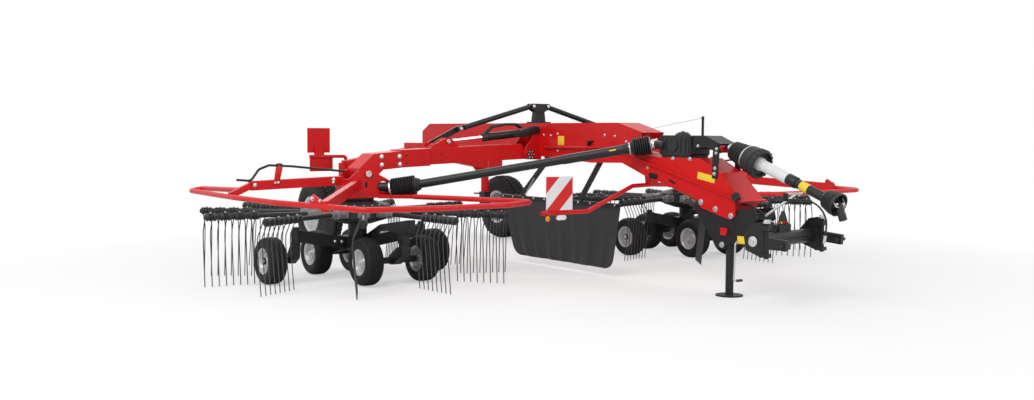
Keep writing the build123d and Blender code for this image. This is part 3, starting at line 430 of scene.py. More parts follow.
def turned(name, profile, origin, direction, finish, sides=48, smooth=35, closed=False):
    """A turned part: a circle extruded and resized along a profile of (height, radius) pairs."""
    nothing_selected()
    bpy.ops.mesh.primitive_circle_add(vertices=sides, radius=profile[0][1], location=(0, 0, profile[0][0]))
    piece = bpy.context.object
    bpy.ops.object.transform_apply(location=True)
    bpy.ops.object.mode_set(mode="EDIT")
    bpy.ops.mesh.select_all(action="SELECT")
    if not closed:
        bpy.ops.mesh.edge_face_add()
    height, radius = profile[0]
    for next_height, next_radius in profile[1:]:
        bpy.ops.mesh.extrude_region_move(TRANSFORM_OT_translate={"value": (0, 0, next_height - height)})
        ratio = next_radius / radius
        bpy.ops.transform.resize(value=(ratio, ratio, 1), center_override=(0, 0, next_height))
        height, radius = next_height, next_radius
    bpy.ops.mesh.select_all(action="SELECT")
    if closed:
        bpy.ops.mesh.remove_doubles(threshold=1e-6)
    bpy.ops.mesh.normals_make_consistent(inside=False)
    bpy.ops.object.mode_set(mode="OBJECT")
    return placed(piece, name, finish, facing(origin, direction), smooth)


def ring_of(name, profile, origin, direction, finish, sides=48, smooth=35):
    """A turned ring: the profile closes on itself, so it has an inner wall."""
    return turned(name, list(profile) + [profile[0]], origin, direction, finish, sides, smooth, closed=True)


def round_line(name, points, radius, sides, kind):
    """A curve with a round section and closed ends, and its spline."""
    curve = bpy.data.curves.new(name, "CURVE")
    curve.dimensions = "3D"
    curve.bevel_depth = radius
    curve.bevel_resolution = sides
    curve.use_fill_caps = True
    spline = curve.splines.new(kind)
    spline.points.add(len(points) - 1)
    for slot, point in zip(spline.points, points):
        slot.co = (*point, 1)
    thing = bpy.data.objects.new(name, curve)
    scene.collection.objects.link(thing)
    return thing, spline


def wire(points, radius, sides=2):
    """A round tube along straight runs, made from a curve and turned into a mesh."""
    only(round_line("wire", points, radius, sides, "POLY")[0])
    bpy.ops.object.convert(target="MESH")
    return bpy.context.object


def bent(points, radius, steps=5):
    """Points with each corner replaced by an arc of one radius."""
    points = [Vector(p) for p in points]
    out = [points[0]]
    for a, b, c in zip(points, points[1:], points[2:]):
        before, after = (a - b).normalized(), (c - b).normalized()
        angle = before.angle(after)
        reach = min(radius / max(1e-6, tan(angle / 2)), 0.45 * (a - b).length, 0.45 * (c - b).length)
        start, end = b + before * reach, b + after * reach
        for k in range(steps + 1):
            t = k / steps
            out.append(start * (1 - t) ** 2 + b * 2 * t * (1 - t) + end * t ** 2)
    out.append(points[-1])
    return out


def tube(name, points, radius, finish, sides=4, bend=0.0):
    """A round tube along points, its corners rounded where a bend is given."""
    path = bent(points, bend) if bend else points
    return placed(wire(path, radius, sides), name, finish)


def plate(name, outline, thickness, matrix, finish, bevel=0.0015):
    """A flat plate from its outline, thick along local Z, with its edges broken."""
    nothing_selected()
    bpy.ops.mesh.primitive_circle_add(vertices=len(outline), radius=1)
    piece = bpy.context.object
    for vertex, (x, y) in zip(piece.data.vertices, outline):
        vertex.co = (x, y, -thickness / 2)
    bpy.ops.object.mode_set(mode="EDIT")
    bpy.ops.mesh.select_all(action="SELECT")
    bpy.ops.mesh.edge_face_add()
    bpy.ops.mesh.extrude_region_move(TRANSFORM_OT_translate={"value": (0, 0, thickness)})
    bpy.ops.mesh.select_all(action="SELECT")
    bpy.ops.mesh.normals_make_consistent(inside=False)
    if bevel:
        bpy.ops.mesh.bevel(offset=bevel, segments=2, affect="EDGES")
    bpy.ops.object.mode_set(mode="OBJECT")
    return placed(piece, name, finish, matrix, 30)


def rectangle(length, width):
    """The outline of a plain plate, centred, long along local X."""
    return [(x * length / 2, y * width / 2) for x, y in ((-1, -1), (1, -1), (1, 1), (-1, 1))]


def hex_bolt(name, origin, direction, size, finish=zinc, washer=True):
    """A bolt head of the given width across flats on its washer."""
    across = size / sqrt(3)
    head = turned(name, [(size * 0.14, across * 0.86), (size * 0.18, across), (size * 0.6, across),
                         (size * 0.72, across * 0.8)], origin, direction, finish, 6, 25)
    if washer:
        disc = turned(name + "_washer", [(0, size * 0.78), (size * 0.12, size * 0.8),
                                         (size * 0.15, size * 0.74)], origin, direction, finish, 20)
        return joined(name, [head, disc])
    return head


def joined(name, pieces):
    """Several meshes made one piece."""
    nothing_selected()
    for piece in pieces:
        piece.select_set(True)
    bpy.context.view_layer.objects.active = pieces[0]
    bpy.ops.object.join()
    piece = bpy.context.object
    piece.name = name
    return piece


def copied(piece, matrix, name=None):
    """A copy of a piece with its own mesh, moved by a matrix."""
    twin = piece.copy()
    twin.data = piece.data.copy()
    twin.data.transform(matrix)
    if matrix.determinant() < 0:
        twin.data.flip_normals()
    scene.collection.objects.link(twin)
    if name:
        twin.name = name
    return twin


MIRROR = Matrix.Diagonal((1, -1, 1, 1))


def both_sides(piece, body, slot, *replaced):
    """Puts a piece modelled for the right on its body, and its mirror image on the left one."""
    base = piece.name
    twin = copied(piece, MIRROR, base + "_left")
    piece.name = base + "_right"
    for part, side in ((piece, "right"), (twin, "left")):
        named = body if body == "frame" else body + "_" + side
        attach(part, named)
        if replaced:
            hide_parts(*[node + "_" + side for node in replaced])
    return piece, twin


def bent_across(piece, moving, start, end):
    """A soft piece and its mirror image, each with its place put in its mesh."""
    twin = copied(piece, MIRROR, piece.name + "_left")
    piece.name += "_right"
    for part, (name, side) in zip((piece, twin), SIDES):
        ends = [Vector((p.x, -side * p.y, p.z)) for p in (start, end)]
        moving + "_" + name
        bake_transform(part)


def on(piece, body, slot, *replaced):
    """Puts a piece on one body."""
    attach(piece, body)
    if replaced:
        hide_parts(*replaced)
    return piece


print("helpers ready")

# %% [markdown]
# The hoses at the hitch are free cords. Each is one smooth curve through the points that its
# solid follows, leaves its clip straight, arches forward and hangs under its own weight.

# %% Hoses
HOSE_RADIUS = 0.007


def hose(name, points):
    """A free cord through the points."""
    piece, spline = round_line(name, points, HOSE_RADIUS, 4, "NURBS")
    spline.order_u = 3
    spline.use_endpoint_u = True
    spline.resolution_u = 12
    piece.data.materials.append(hose_rubber)
    on(piece, "frame", "hose_rubber", name.replace("_line", ""))
    return piece


CLIP = (5.736, -0.130, 0.828)
FRONT_HOSE = [(0, 0), (76, 0), (166, 7), (252, -8), (322, -50), (366, -114), (376, -184), (364, -250)]
NOSE_HOSE = [(0, 757), (50, 757), (102, 750), (150, 733), (190, 714)]
NOSE_X = 5.205
front_points = [at(CLIP[0] + x / 1000, CLIP[1], CLIP[2] + z / 1000) for x, z in FRONT_HOSE]
nose_points = [at(NOSE_X + x / 1000, -0.050, z / 1000) for x, z in NOSE_HOSE]
hose("hose_front_line", front_points)
hose("hose_nose_line", nose_points)

# %% [markdown]
# Studio: a pale floor that fades into a white surround away from the machine, so that the shadow
# stays and no horizon shows. The world lights softly from all round, and three large lamps model
# the forms. Glossy rays see the same white surround. Each lamp has its name, place and watts.

# %% Studio
FLOOR_RADIUS = 60
FADE_START = 3.0
FADE_RATE = 0.35
STUDIO_LAMPS = (("key", (3, -8, 8), 620), ("fill", (9, 4, 6), 260), ("rear", (-8, 3, 7), 260))
LAMP_SIZE = 6
WORLD_LIGHT = 0.52


def studio():
    nothing_selected()
    bpy.ops.mesh.primitive_circle_add(vertices=96, radius=FLOOR_RADIUS, fill_type="NGON",
                                      location=(0, 0, -0.0005))
    floor = bpy.context.object
    floor.name = "floor"
    bpy.ops.object.transform_apply(location=True)
    material = bpy.data.materials.new("floor")
    material.use_nodes = True
    tree = material.node_tree
    tree.nodes.clear()
    output = tree.nodes.new("ShaderNodeOutputMaterial")
    matte = tree.nodes.new("ShaderNodeBsdfDiffuse")
    matte.inputs["Color"].default_value = (0.86, 0.86, 0.86, 1)
    glow = tree.nodes.new("ShaderNodeEmission")
    glow.inputs["Color"].default_value = (1, 1, 1, 1)
    place = Term(tree, tree.nodes.new("ShaderNodeTexCoord").outputs["Object"])
    length = tree.nodes.new("ShaderNodeVectorMath")
    length.operation = "LENGTH"
    tree.links.new(place.socket, length.inputs[0])
    away = ((Term(tree, length.outputs["Value"]) - FADE_START) * FADE_RATE).limited()
    path = tree.nodes.new("ShaderNodeLightPath")
    seen = Term(tree, path.outputs["Is Camera Ray"])
    mixed = tree.nodes.new("ShaderNodeMixShader")
    tree.links.new((seen * (away * 0.55 + 0.45)).socket, mixed.inputs[0])
    tree.links.new(matte.outputs[0], mixed.inputs[1])
    tree.links.new(glow.outputs[0], mixed.inputs[2])
    tree.links.new(mixed.outputs[0], output.inputs[0])
    floor.data.materials.append(material)
    world = bpy.data.worlds.new("studio")
    scene.world = world
    world.use_nodes = True
    tree = world.node_tree
    background = tree.nodes["Background"]
    path = tree.nodes.new("ShaderNodeLightPath")
    seen = (Term(tree, path.outputs["Is Camera Ray"]) + Term(tree, path.outputs["Is Glossy Ray"])).limited()
    background.inputs["Color"].default_value = (1, 1, 1, 1)
    tree.links.new((seen * (1 - WORLD_LIGHT) + WORLD_LIGHT).socket, background.inputs["Strength"])
    for name, place, watts in STUDIO_LAMPS:
        lamp = bpy.data.lights.new(name, "AREA")
        lamp.energy = watts
        lamp.size = LAMP_SIZE
        thing = bpy.data.objects.new(name, lamp)
        scene.collection.objects.link(thing)
        thing.matrix_world = facing(place, Vector(place) - Vector((0, 0, 0.6)))
    scene.view_settings.view_transform = "Standard"


studio()
print("studio lamps", len(STUDIO_LAMPS))

# %% [markdown]
# Each rotor runs on six small flotation tyres: wide and rounded, with ribs round the tread and a
# pressed steel rim. A tyre is one turned section, so the section is drawn once, from bead to bead
# with a groove at each given place, and spun. The rim is a second turned ring with bolts round it.

# %% Rotor wheel
WHEEL_R = 0.205
WHEEL_HALF = 0.0825
WHEEL_RIM = 0.110
WHEEL_GROOVES = (-0.044, -0.022, 0.0, 0.022, 0.044)


def tyre_section(radius, half, rim, grooves, depth, width):
    """The outside of a tyre from one bead to the other, with grooves round the tread."""
    middle = (radius + rim) / 2

    def crown(h):
        return middle + (radius - middle) * (1 - abs(h / half) ** 3.2) ** 0.42

    wall = [(-half * 0.80, rim - 0.003), (-half * 0.90, rim + 0.010), (-half * 0.975, (middle + rim) / 2),
            (-half, middle)]
    shoulder = [(-half * k, crown(half * k)) for k in (0.99, 0.96, 0.90, 0.80)]
    tread = []
    for centre in grooves:
        top = crown(centre)
        tread += [(centre - width, top), (centre - width * 0.6, top - depth),
                  (centre + width * 0.6, top - depth), (centre + width, top)]
    other = [(-h, r) for h, r in reversed(wall + shoulder)]
    return wall + shoulder + tread + other


def rim_section(half, rim, dish, hub, bore):
    """A pressed rim: hub, dished disc near its outer side, flared edges and the open barrel."""
    edge = half * 0.84
    inward = [(-half * 0.62, bore), (-half * 0.62, hub), (-dish - 0.014, hub + 0.006),
              (-dish, hub + 0.022), (-dish, rim * 0.72), (-dish - 0.006, rim * 0.80),
              (-edge + 0.010, rim * 0.88), (-edge, rim * 0.97), (-edge - 0.003, rim + 0.004),
              (-edge + 0.004, rim + 0.003), (edge - 0.004, rim + 0.003), (edge + 0.003, rim + 0.004),
              (edge, rim * 0.97), (edge - 0.010, rim * 0.88), (-dish + 0.010, rim * 0.78),
              (-dish + 0.006, hub + 0.020), (half * 0.2, hub + 0.004), (half * 0.62, hub),
              (half * 0.62, bore)]
    return [(-height, radius) for height, radius in inward]


def round_bolts(name, count, radius, height, size, finish):
    """Bolt heads evenly round the local Z axis, facing along it."""
    one = hex_bolt(name, (radius, 0, height), UP, size, finish)
    others = [copied(one, Matrix.Rotation(2 * pi * k / count, 4, "Z")) for k in range(1, count)]
    return joined(name, [one] + others)


def hub_cap(name, reach, radius, finish):
    return turned(name, [(reach - 0.012, radius * 1.15), (reach, radius * 1.1),
                         (reach + 0.006, radius * 0.95), (reach + 0.018, radius * 0.8),
                         (reach + 0.024, radius * 0.45), (reach + 0.026, radius * 0.1)], ORIGIN, UP,
                  finish, 24)


wheel_outline = tyre_section(WHEEL_R, WHEEL_HALF, WHEEL_RIM, WHEEL_GROOVES, 0.007, 0.0035)
wheel_tyre = ring_of("wheel_tyre", wheel_outline, ORIGIN, UP, tyre_black, 56)
rim_outline = rim_section(WHEEL_HALF, WHEEL_RIM, 0.020, 0.034, 0.0175)
wheel_rim = ring_of("wheel_rim", rim_outline, ORIGIN, UP, wheel_silver, 40)
wheel_bolts = round_bolts("wheel_bolts", 5, 0.066, 0.018, 0.017, zinc)
wheel_cap = hub_cap("wheel_cap", 0.052, 0.026, zinc)
wheel_metal = joined("wheel_metal", [wheel_rim, wheel_bolts, wheel_cap])
print("wheel triangles", len(wheel_tyre.data.polygons) * 2, len(wheel_metal.data.polygons) * 2)

# %% [markdown]
# The wheel is copied to its six places on each rotor. Wheels on one stub axle share a body, and
# each copy has its own mesh, because it rolls on its own. Each row has a name, the body and solid,
# the place from the rotor's centre and the way that the wheel's outer side looks.

# %% Rotor wheels in place
WHEEL_PLACES = (
    ("outer", "wheel_outer", -0.036, -0.823, -1), ("inner", "wheel_inner", -0.036, 0.823, 1),
    ("front_out", "wheels_front", 0.488, -0.175, -1), ("front_in", "wheels_front", 0.488, 0.391, 1),
    ("rear_out", "wheels_rear", -0.436, -0.197, -1), ("rear_in", "wheels_rear", -0.436, 0.197, 1))
for name, node, x, y, out in WHEEL_PLACES:
    place = facing(at_rotor(x, y, WHEEL_R), (0, out, 0))
    for part in (wheel_tyre, wheel_metal):
        both_sides(copied(part, place, part.name + "_" + name), node, "tyre", node)
for part in (wheel_tyre, wheel_metal):
    bpy.data.objects.remove(part)
print("wheels on each rotor", len(WHEEL_PLACES))

# %% [markdown]
# The transport tyres have a road tread: blocks in five rows, set half a pitch apart from row to
# row. One block is shaped and copied round the carcass. Each row of blocks has its place across
# the tread, its width and its turn as a share of the pitch.

# %% Transport wheels
ROAD_R = 0.393
ROAD_HALF = 0.131
ROAD_RIM = 0.200
ROAD_PITCHES = 44
BLOCK_DEPTH = 0.016
BLOCK_ROWS = ((-0.092, 0.030, 0.0), (-0.047, 0.034, 0.5), (0.0, 0.030, 0.0), (0.047, 0.034, 0.5),
              (0.092, 0.030, 0.0))


def tread_block(offset, width, turn_share):
    """One rubber block standing on the carcass at the top, narrower at its crown."""
    nothing_selected()
    crown = ROAD_R - 0.052 * abs(offset / ROAD_HALF) ** 3
    length = 2 * pi * ROAD_R / ROAD_PITCHES * 0.74
    bpy.ops.mesh.primitive_cube_add(size=1, scale=(BLOCK_DEPTH, length, width),
                                    location=(crown - BLOCK_DEPTH / 2, 0, offset))
    block = bpy.context.object
    bpy.ops.object.transform_apply(location=True, rotation=True, scale=True)
    for vertex in block.data.vertices:
        if vertex.co.x > crown - 0.004:
            vertex.co.y *= 0.86
            vertex.co.z = offset + (vertex.co.z - offset) * 0.88
    block = placed(block, "block", tyre_black, None, 0)
    start = 2 * pi / ROAD_PITCHES * turn_share
    copies = [copied(block, Matrix.Rotation(start + 2 * pi * k / ROAD_PITCHES, 4, "Z"))
              for k in range(1, ROAD_PITCHES)]
    block.data.transform(Matrix.Rotation(start, 4, "Z"))
    return joined("tread_row", [block] + copies)


road_outline = tyre_section(ROAD_R - 0.011, ROAD_HALF, ROAD_RIM, (0.0,), 0.001, 0.004)
road_carcass = ring_of("road_carcass", road_outline, ORIGIN, UP, tyre_black, 64)
road_tyre = joined("road_tyre", [road_carcass] + [tread_block(*row) for row in BLOCK_ROWS])
road_rim = ring_of("road_rim", rim_section(ROAD_HALF, ROAD_RIM, 0.030, 0.060, 0.026), ORIGIN, UP,
                   wheel_silver, 56)
road_bolts = round_bolts("road_bolts", 6, 0.103, 0.028, 0.027, zinc)
road_cap = hub_cap("road_cap", 0.080, 0.045, charcoal_paint)
road_metal = joined("road_metal", [road_rim, road_bolts, road_cap])
for part in (road_tyre, road_metal):
    place = facing(at(0, -1.275, ROAD_R), RIGHT_WAY)
    both_sides(copied(part, place, part.name + "_wheel"), "transport_wheel", "tyre", "transport_wheel")
    print(part.name, "triangles", len(part.data.polygons) * 2)
    bpy.data.objects.remove(part)

# %% [markdown]
# The rotor is the machine's working tool: eleven arms round a hub, each with eight sprung tines.
# A tine is hardened wire wound two and a half times round the arm's sleeve, bent back behind the
# arm and then down to the ground. One arm is made along X with all its tines, and turned into place.

# %% Tined arms
HUB_RING = 0.306
TIP_R = 1.410
SLEEVE_START = 0.930
ARM_OFFSET = 0.060
ARM_HEIGHT = 0.605
ARM_COUNT = 11
ARM_START = {"right": 4.4, "left": 27.0}
TINE_WIRE = 0.0045
COIL_R = 0.031
COIL_TURNS = 2.5
COIL_LENGTH = 0.022
COIL_STEPS = 24
TINE_PAIRS = 4
PAIR_GAP = 0.062
TINE_PATH = ((-0.031, -0.008), (-0.044, -0.040), (-0.082, -0.125), (-0.086, -0.190), (-0.050, -0.593))


def tine_places():
    """The places of the tines along an arm, in pairs at even steps from end to end of the sleeve."""
    step = (TIP_R - SLEEVE_START - PAIR_GAP - 0.050) / (TINE_PAIRS - 1)
    return [SLEEVE_START + 0.022 + pair * step + half for pair in range(TINE_PAIRS)
            for half in (0, PAIR_GAP)]


def one_tine(x):
    """Coil and prong in one wire, the coil round the sleeve and the prong hanging behind it."""
    points = []
    for k in range(COIL_STEPS + 1):
        angle = pi * (1 - 2 * COIL_TURNS * (1 - k / COIL_STEPS))
        along = x - COIL_LENGTH / 2 + COIL_LENGTH * k / COIL_STEPS
        points.append(Vector((along, ARM_OFFSET + COIL_R * cos(angle), COIL_R * sin(angle))))
    for out, down in TINE_PATH:
        points.append(Vector((x + COIL_LENGTH / 2, ARM_OFFSET + out, down)))
    return wire(points, TINE_WIRE, 1)


def arm_holder():
    """The pale casting that holds an arm on the hub's ring: a stepped socket on a flanged foot."""
    socket = turned("arm_socket", [(HUB_RING - 0.010, 0.030), (HUB_RING - 0.008, 0.043), (0.352, 0.043),
                                   (0.362, 0.036), (0.402, 0.036), (0.406, 0.042), (0.428, 0.042),
                                   (0.434, 0.030), (0.500, 0.0275), (0.504, 0.0215)], (0, ARM_OFFSET, 0),
                    AHEAD, cast_grey, 20)
    foot = plate("arm_foot", [(-0.055, -0.034), (0.055, -0.034), (0.055, 0.034), (0.030, 0.046),
                              (-0.030, 0.046), (-0.055, 0.034)], 0.014,
                 facing((HUB_RING + 0.004, ARM_OFFSET, 0), AHEAD, Vector((0, 1, 0))), cast_grey, 0.003)
    return [socket, foot]


def strap(height, width, inner, outer):
    """The section of a clamping band of the given width."""
    return [(height, inner), (height + 0.002, outer), (height + width - 0.002, outer),
            (height + width, inner)]


def about_arm(name, section, finish, sides=20):
    """A part turned about the arm's line, its heights counted from the rotor's centre."""
    return turned(name, section, (0, ARM_OFFSET, 0), AHEAD, finish, sides)


def tine_arm():
    """One arm along X, from its holder to its tip, with its clamps and tines in one piece."""
    parts = arm_holder()
    arm_tube = about_arm("arm_tube", [(HUB_RING, 0.021), (TIP_R - 0.004, 0.021), (TIP_R, 0.018)],
                         grey_paint)
    arm_sleeve = about_arm("arm_sleeve", [(SLEEVE_START, 0.0225), (SLEEVE_START + 0.004, 0.0255),
                                          (TIP_R - 0.016, 0.0255), (TIP_R - 0.012, 0.022)], grey_paint)
    parts += [arm_tube, arm_sleeve]
    for x in (0.335, 0.385):
        parts.append(hex_bolt("arm_bolt", (x, ARM_OFFSET, 0.033), UP, 0.017, zinc, False))
    places = tine_places()
    for near, far in zip(places[::2], places[1::2]):
        middle = (near + far) / 2
        parts.append(about_arm("clamp", strap(middle - 0.013, 0.026, 0.027, 0.033), charcoal_paint, 16))
        parts.append(hex_bolt("clamp_bolt", (middle, ARM_OFFSET, 0.032), UP, 0.014, zinc, False))
    tines = [placed(one_tine(x), "tine", tine_steel) for x in places]
    return joined("tine_arm", parts + tines)


arm_pattern = tine_arm()
print("tine arm triangles", sum(len(p.vertices) - 2 for p in arm_pattern.data.polygons))
for name, side in SIDES:
    centre = at(ROTOR_X, side * ROTOR_Y, ARM_HEIGHT)
    flip = Matrix.Identity(4) if side < 0 else MIRROR
    start = radians(ARM_START[name])
    for k in range(ARM_COUNT):
        spin = Matrix.Rotation(start + 2 * pi * k / ARM_COUNT, 4, "Z")
        arm = copied(arm_pattern, Matrix.Translation(centre) @ spin @ flip, f"tine_arm_{k + 1}_{name}")
        on(arm, "rotor_" + name, "dark_steel", "tine_arms_" + name)
bpy.data.objects.remove(arm_pattern)

# %% [markdown]
# Two guarded shafts carry the drive from the gearbox to the rotors. Each has a ribbed rubber
# bellows over its joint, clamped with bright bands. A bellows is a turned section whose radius
# goes in and out, so one helper writes that section for all of them.

# %% Bellows and guarded shafts
DRIVE_JOINT = Vector((4.160, 0.175, 1.215))
ROTOR_JOINT = Vector((2.748, 1.752, 0.838))
DRIVE_R = 0.042
DRIVE_LAP = 0.720


def ribs(start, end, count, first, last, depth):
    """Rounded ribs between two heights, their crests going from one radius to another."""
    section = []
    pitch = (end - start) / count
    for k in range(count):
        crest = first + (last - first) * (k + 0.5) / count
        low = start + k * pitch
        section += [(low, crest - depth), (low + pitch * 0.28, crest - depth * 0.15),
                    (low + pitch * 0.5, crest), (low + pitch * 0.72, crest - depth * 0.15)]
    return section + [(end, last - depth)]


def drive_point(distance):
    """A point on the right shaft's line, from the joint at the gearbox toward the rotor."""
    a = at(DRIVE_JOINT.x, -DRIVE_JOINT.y, DRIVE_JOINT.z)
    b = at(ROTOR_JOINT.x, -ROTOR_JOINT.y, ROTOR_JOINT.z)
    return a + (b - a).normalized() * distance


drive_start = drive_point(0)
drive_way = drive_point(1) - drive_start
drive_span = (ROTOR_JOINT - DRIVE_JOINT).length


def drive(name, section, finish, sides):
    """A part turned about the right shaft's line, its heights counted from the gearbox's joint."""
    return turned(name, section, drive_start, drive_way, finish, sides)


drive_bellows = drive("drive_bellows", [(-0.062, 0.052), (-0.060, 0.060)]
                      + ribs(-0.062, 0.094, 8, 0.089, 0.084, 0.017)
                      + [(0.104, 0.060), (0.112, 0.052), (0.128, 0.050), (0.160, 0.0445), (0.162, 0.043)],
                      bellows_rubber, 40)
drive_tube = drive("drive_tube", [(0.150, 0.0430), (0.156, 0.0440), (0.200, 0.0440), (0.204, DRIVE_R),
                                  (DRIVE_LAP - 0.004, DRIVE_R), (DRIVE_LAP, 0.040), (DRIVE_LAP, 0.0385)],
                   grey_paint, 32)
rear_clamp, front_clamp = [drive("drive_clamp", strap(h, 0.013, r - 0.004, r + 0.0015), zinc, 32)
                           for h, r in ((-0.068, 0.070), (0.114, 0.0515))]
both_sides(drive_tube, "drive_outer", "guard_plastic", "drive_outer")
both_sides(rear_clamp, "frame", "zinc")
both_sides(front_clamp, "drive_outer", "zinc")
bent_across(drive_bellows, "drive_outer", drive_point(-0.050), drive_point(0.085))
OUTWARD = Vector((0.5, -0.8, 0.2))
label_way = OUTWARD - drive_way * OUTWARD.dot(drive_way)
drive_label = plate("drive_label", rectangle(0.060, 0.010), 0.0012,
                    facing(drive_point(0.270) + label_way.normalized() * (DRIVE_R + 0.0002), label_way,
                           drive_way), yellow_band, 0.0003)
both_sides(drive_label, "drive_outer", "guard_plastic")
print("drive shaft", round(drive_span, 3), "m from joint to joint")

# %% [markdown]
# At the rotor's end the bellows sits on the rotor's gear head and rides with the arm. It is wider
# than the shaft, so the joint can turn inside it as the arm folds up, and it needs no bend.

# %% Rotor end bellows
ROTOR_BELLOWS_END = 0.128
rotor_ribs = ribs(drive_span + ROTOR_BELLOWS_END, drive_span - 0.088, 13, 0.094, 0.090, 0.018)[1:]
rotor_bellows = drive("rotor_bellows", [(drive_span + 0.124, 0.070)] + rotor_ribs
                      + [(drive_span - 0.092, 0.066), (drive_span - 0.118, 0.056),
                         (drive_span - 0.132, 0.050), (drive_span - 0.134, 0.040)], bellows_rubber, 40)
both_sides(rotor_bellows, "arm", "guard_plastic")
head_clamp = drive("rotor_bellows_clamp", strap(drive_span + 0.130, 0.016, 0.070, 0.0790), zinc, 40)
both_sides(head_clamp, "arm", "zinc")
print("rotor bellows ends", round(drive_span + ROTOR_BELLOWS_END, 3), "m along the shaft")

# %% [markdown]
# The tractor's shaft has a wide ribbed cone that leads into a dark bell with a knobbed rim, then a
# pale guard tube with a dark end. Everything is turned about the shaft's own line. This rear half
# stays with the machine, and the front half slides in it. The bell's knobs are one lug, copied round.

# %% Power take-off shaft, rear half
PTO_REAR = Vector((5.120, 0, 1.172))
PTO_FRONT = Vector((6.100, 0, 0.808))
pto_start = at(*PTO_REAR)
pto_way = (PTO_FRONT - PTO_REAR).normalized()
pto_span = (PTO_FRONT - PTO_REAR).length
LUG_COUNT = 18
LUG_HEIGHT = 0.240
BELL_R = 0.1165


def pto(name, section, finish, sides=48, smooth=35):
    """A part turned about the shaft's line, its heights counted from the rear joint."""
    return turned(name, section, pto_start, pto_way, finish, sides, smooth)


on(pto("pto_cone", [(-0.067, 0.050), (-0.066, 0.061)] + ribs(-0.062, 0.096, 7, 0.078, 0.100, 0.019)
       + [(0.100, 0.070)], bellows_rubber), "frame", "guard_plastic", "pto_guard")
on(pto("pto_bell", [(0.092, 0.085), (0.094, 0.096), (0.112, 0.100), (0.118, 0.108), (0.150, 0.1135),
                    (0.195, 0.1125), (0.205, 0.116), (0.258, 0.1175), (0.264, 0.113), (0.264, 0.101),
                    (0.230, 0.094), (0.215, 0.060), (0.214, 0.047)], guard_plastic), "frame",
   "guard_plastic", "pto_guard")
bell_lugs = [pto("bell_rim", [(0.194, 0.108), (0.196, 0.1190), (0.203, 0.1205), (0.208, 0.114)],
                 guard_plastic)]
for k in range(LUG_COUNT):
    spot = Matrix.Rotation(2 * pi * k / LUG_COUNT, 4, "Z") @ Matrix.Translation((BELL_R, 0, 0))
    lug = plate("lug", [(-0.022, -0.007), (0.022, -0.009), (0.022, 0.009), (-0.022, 0.007)], 0.014,
                facing(ORIGIN, AHEAD, Vector(UP)), guard_plastic, 0.003)
    lug.data.transform(facing(pto_start, pto_way) @ spot @ Matrix.Translation((0, 0, LUG_HEIGHT)))
    bell_lugs.append(lug)
on(joined("bell_lugs", bell_lugs), "frame", "guard_plastic", "pto_guard")
pto_clamps = [pto("pto_clamp", strap(h, 0.014, r - 0.004, r + 0.002), zinc)
              for h, r in ((-0.072, 0.062), (0.096, 0.0990))]
on(joined("pto_clamps", pto_clamps), "frame", "zinc", "pto_guard")
on(pto("pto_tube_pale", [(0.210, 0.046), (0.212, 0.0545), (0.262, 0.0520), (0.270, 0.0462),
                         (0.550, 0.0462), (0.552, 0.0455)], white_plastic), "frame", "guard_plastic",
   "pto_guard")
on(pto("pto_tube_dark", [(0.548, 0.045), (0.550, 0.0458), (0.634, 0.0458), (0.640, 0.043),
                         (0.640, 0.0385)], grey_paint), "frame", "guard_plastic", "pto_guard")
on(pto("pto_label", [(0.688, 0.0381), (0.689, 0.0387), (0.767, 0.0387), (0.768, 0.0381)], yellow_band),
   "pto_slider", "guard_plastic")
print("shaft joints", round(pto_span, 3), "m apart")

# %% [markdown]
# The front half is a thinner tube with a plain yellow band and a ribbed bell, and inside the bell a
# joint cross and the yoke that the tractor's stub enters. A thin white bail hangs across the bell.

# %% Power take-off shaft, sliding half
on(pto("pto_inner_tube", [(0.190, 0.026), (0.190, 0.036), (0.192, 0.038), (pto_span - 0.118, 0.038),
                          (pto_span - 0.116, 0.0365)], grey_paint), "pto_slider", "guard_plastic",
   "pto_slider")
on(pto("pto_front_bell", [(pto_span - 0.126, 0.032), (pto_span - 0.124, 0.046), (pto_span - 0.110, 0.052)]
       + ribs(pto_span - 0.106, pto_span - 0.012, 5, 0.070, 0.093, 0.015)
       + [(pto_span - 0.008, 0.090), (pto_span + 0.018, 0.0915), (pto_span + 0.020, 0.089),
          (pto_span + 0.018, 0.082), (pto_span - 0.040, 0.062), (pto_span - 0.052, 0.028)],
       guard_plastic), "pto_slider", "guard_plastic", "pto_slider")
yoke_top = at(6.118, 0, 0.800)
yoke_end = at(6.160, 0, 0.690)
yoke_way = (yoke_end - yoke_top).normalized()
yoke_span = (yoke_end - yoke_top).length
on(turned("pto_yoke", [(-0.004, 0.012), (-0.002, 0.026), (0.020, 0.0305), (0.052, 0.0305),
                       (0.056, 0.0275), (0.062, 0.0275), (0.066, 0.0308), (yoke_span - 0.004, 0.0308),
                       (yoke_span, 0.0285), (yoke_span, 0.0176), (yoke_span - 0.058, 0.0176),
                       (yoke_span - 0.060, 0.002)], yoke_top, yoke_way, cast_iron, 32), "pto_slider",
   "dark_casting", "pto_slider")
yoke_caps = [turned("yoke_cap", [(0.026, 0.010), (0.027, 0.0165), (0.046, 0.0165), (0.049, 0.013),
                                 (0.050, 0.003)], yoke_top - yoke_way * 0.008, (0, s, 0), zinc, 24)
             for s in (-1, 1)]
yoke_cross = turned("yoke_cross", [(-0.030, 0.018), (-0.028, 0.022), (0.014, 0.022), (0.016, 0.018)],
                    yoke_top - yoke_way * 0.008, pto_way, cast_iron, 24)
on(joined("pto_cross", yoke_caps + [yoke_cross]), "pto_slider", "dark_casting", "pto_slider")
bail_ends = [pto_start + pto_way * (pto_span - 0.004) + Vector((0, s * 0.062, 0.052)) for s in (-1, 1)]
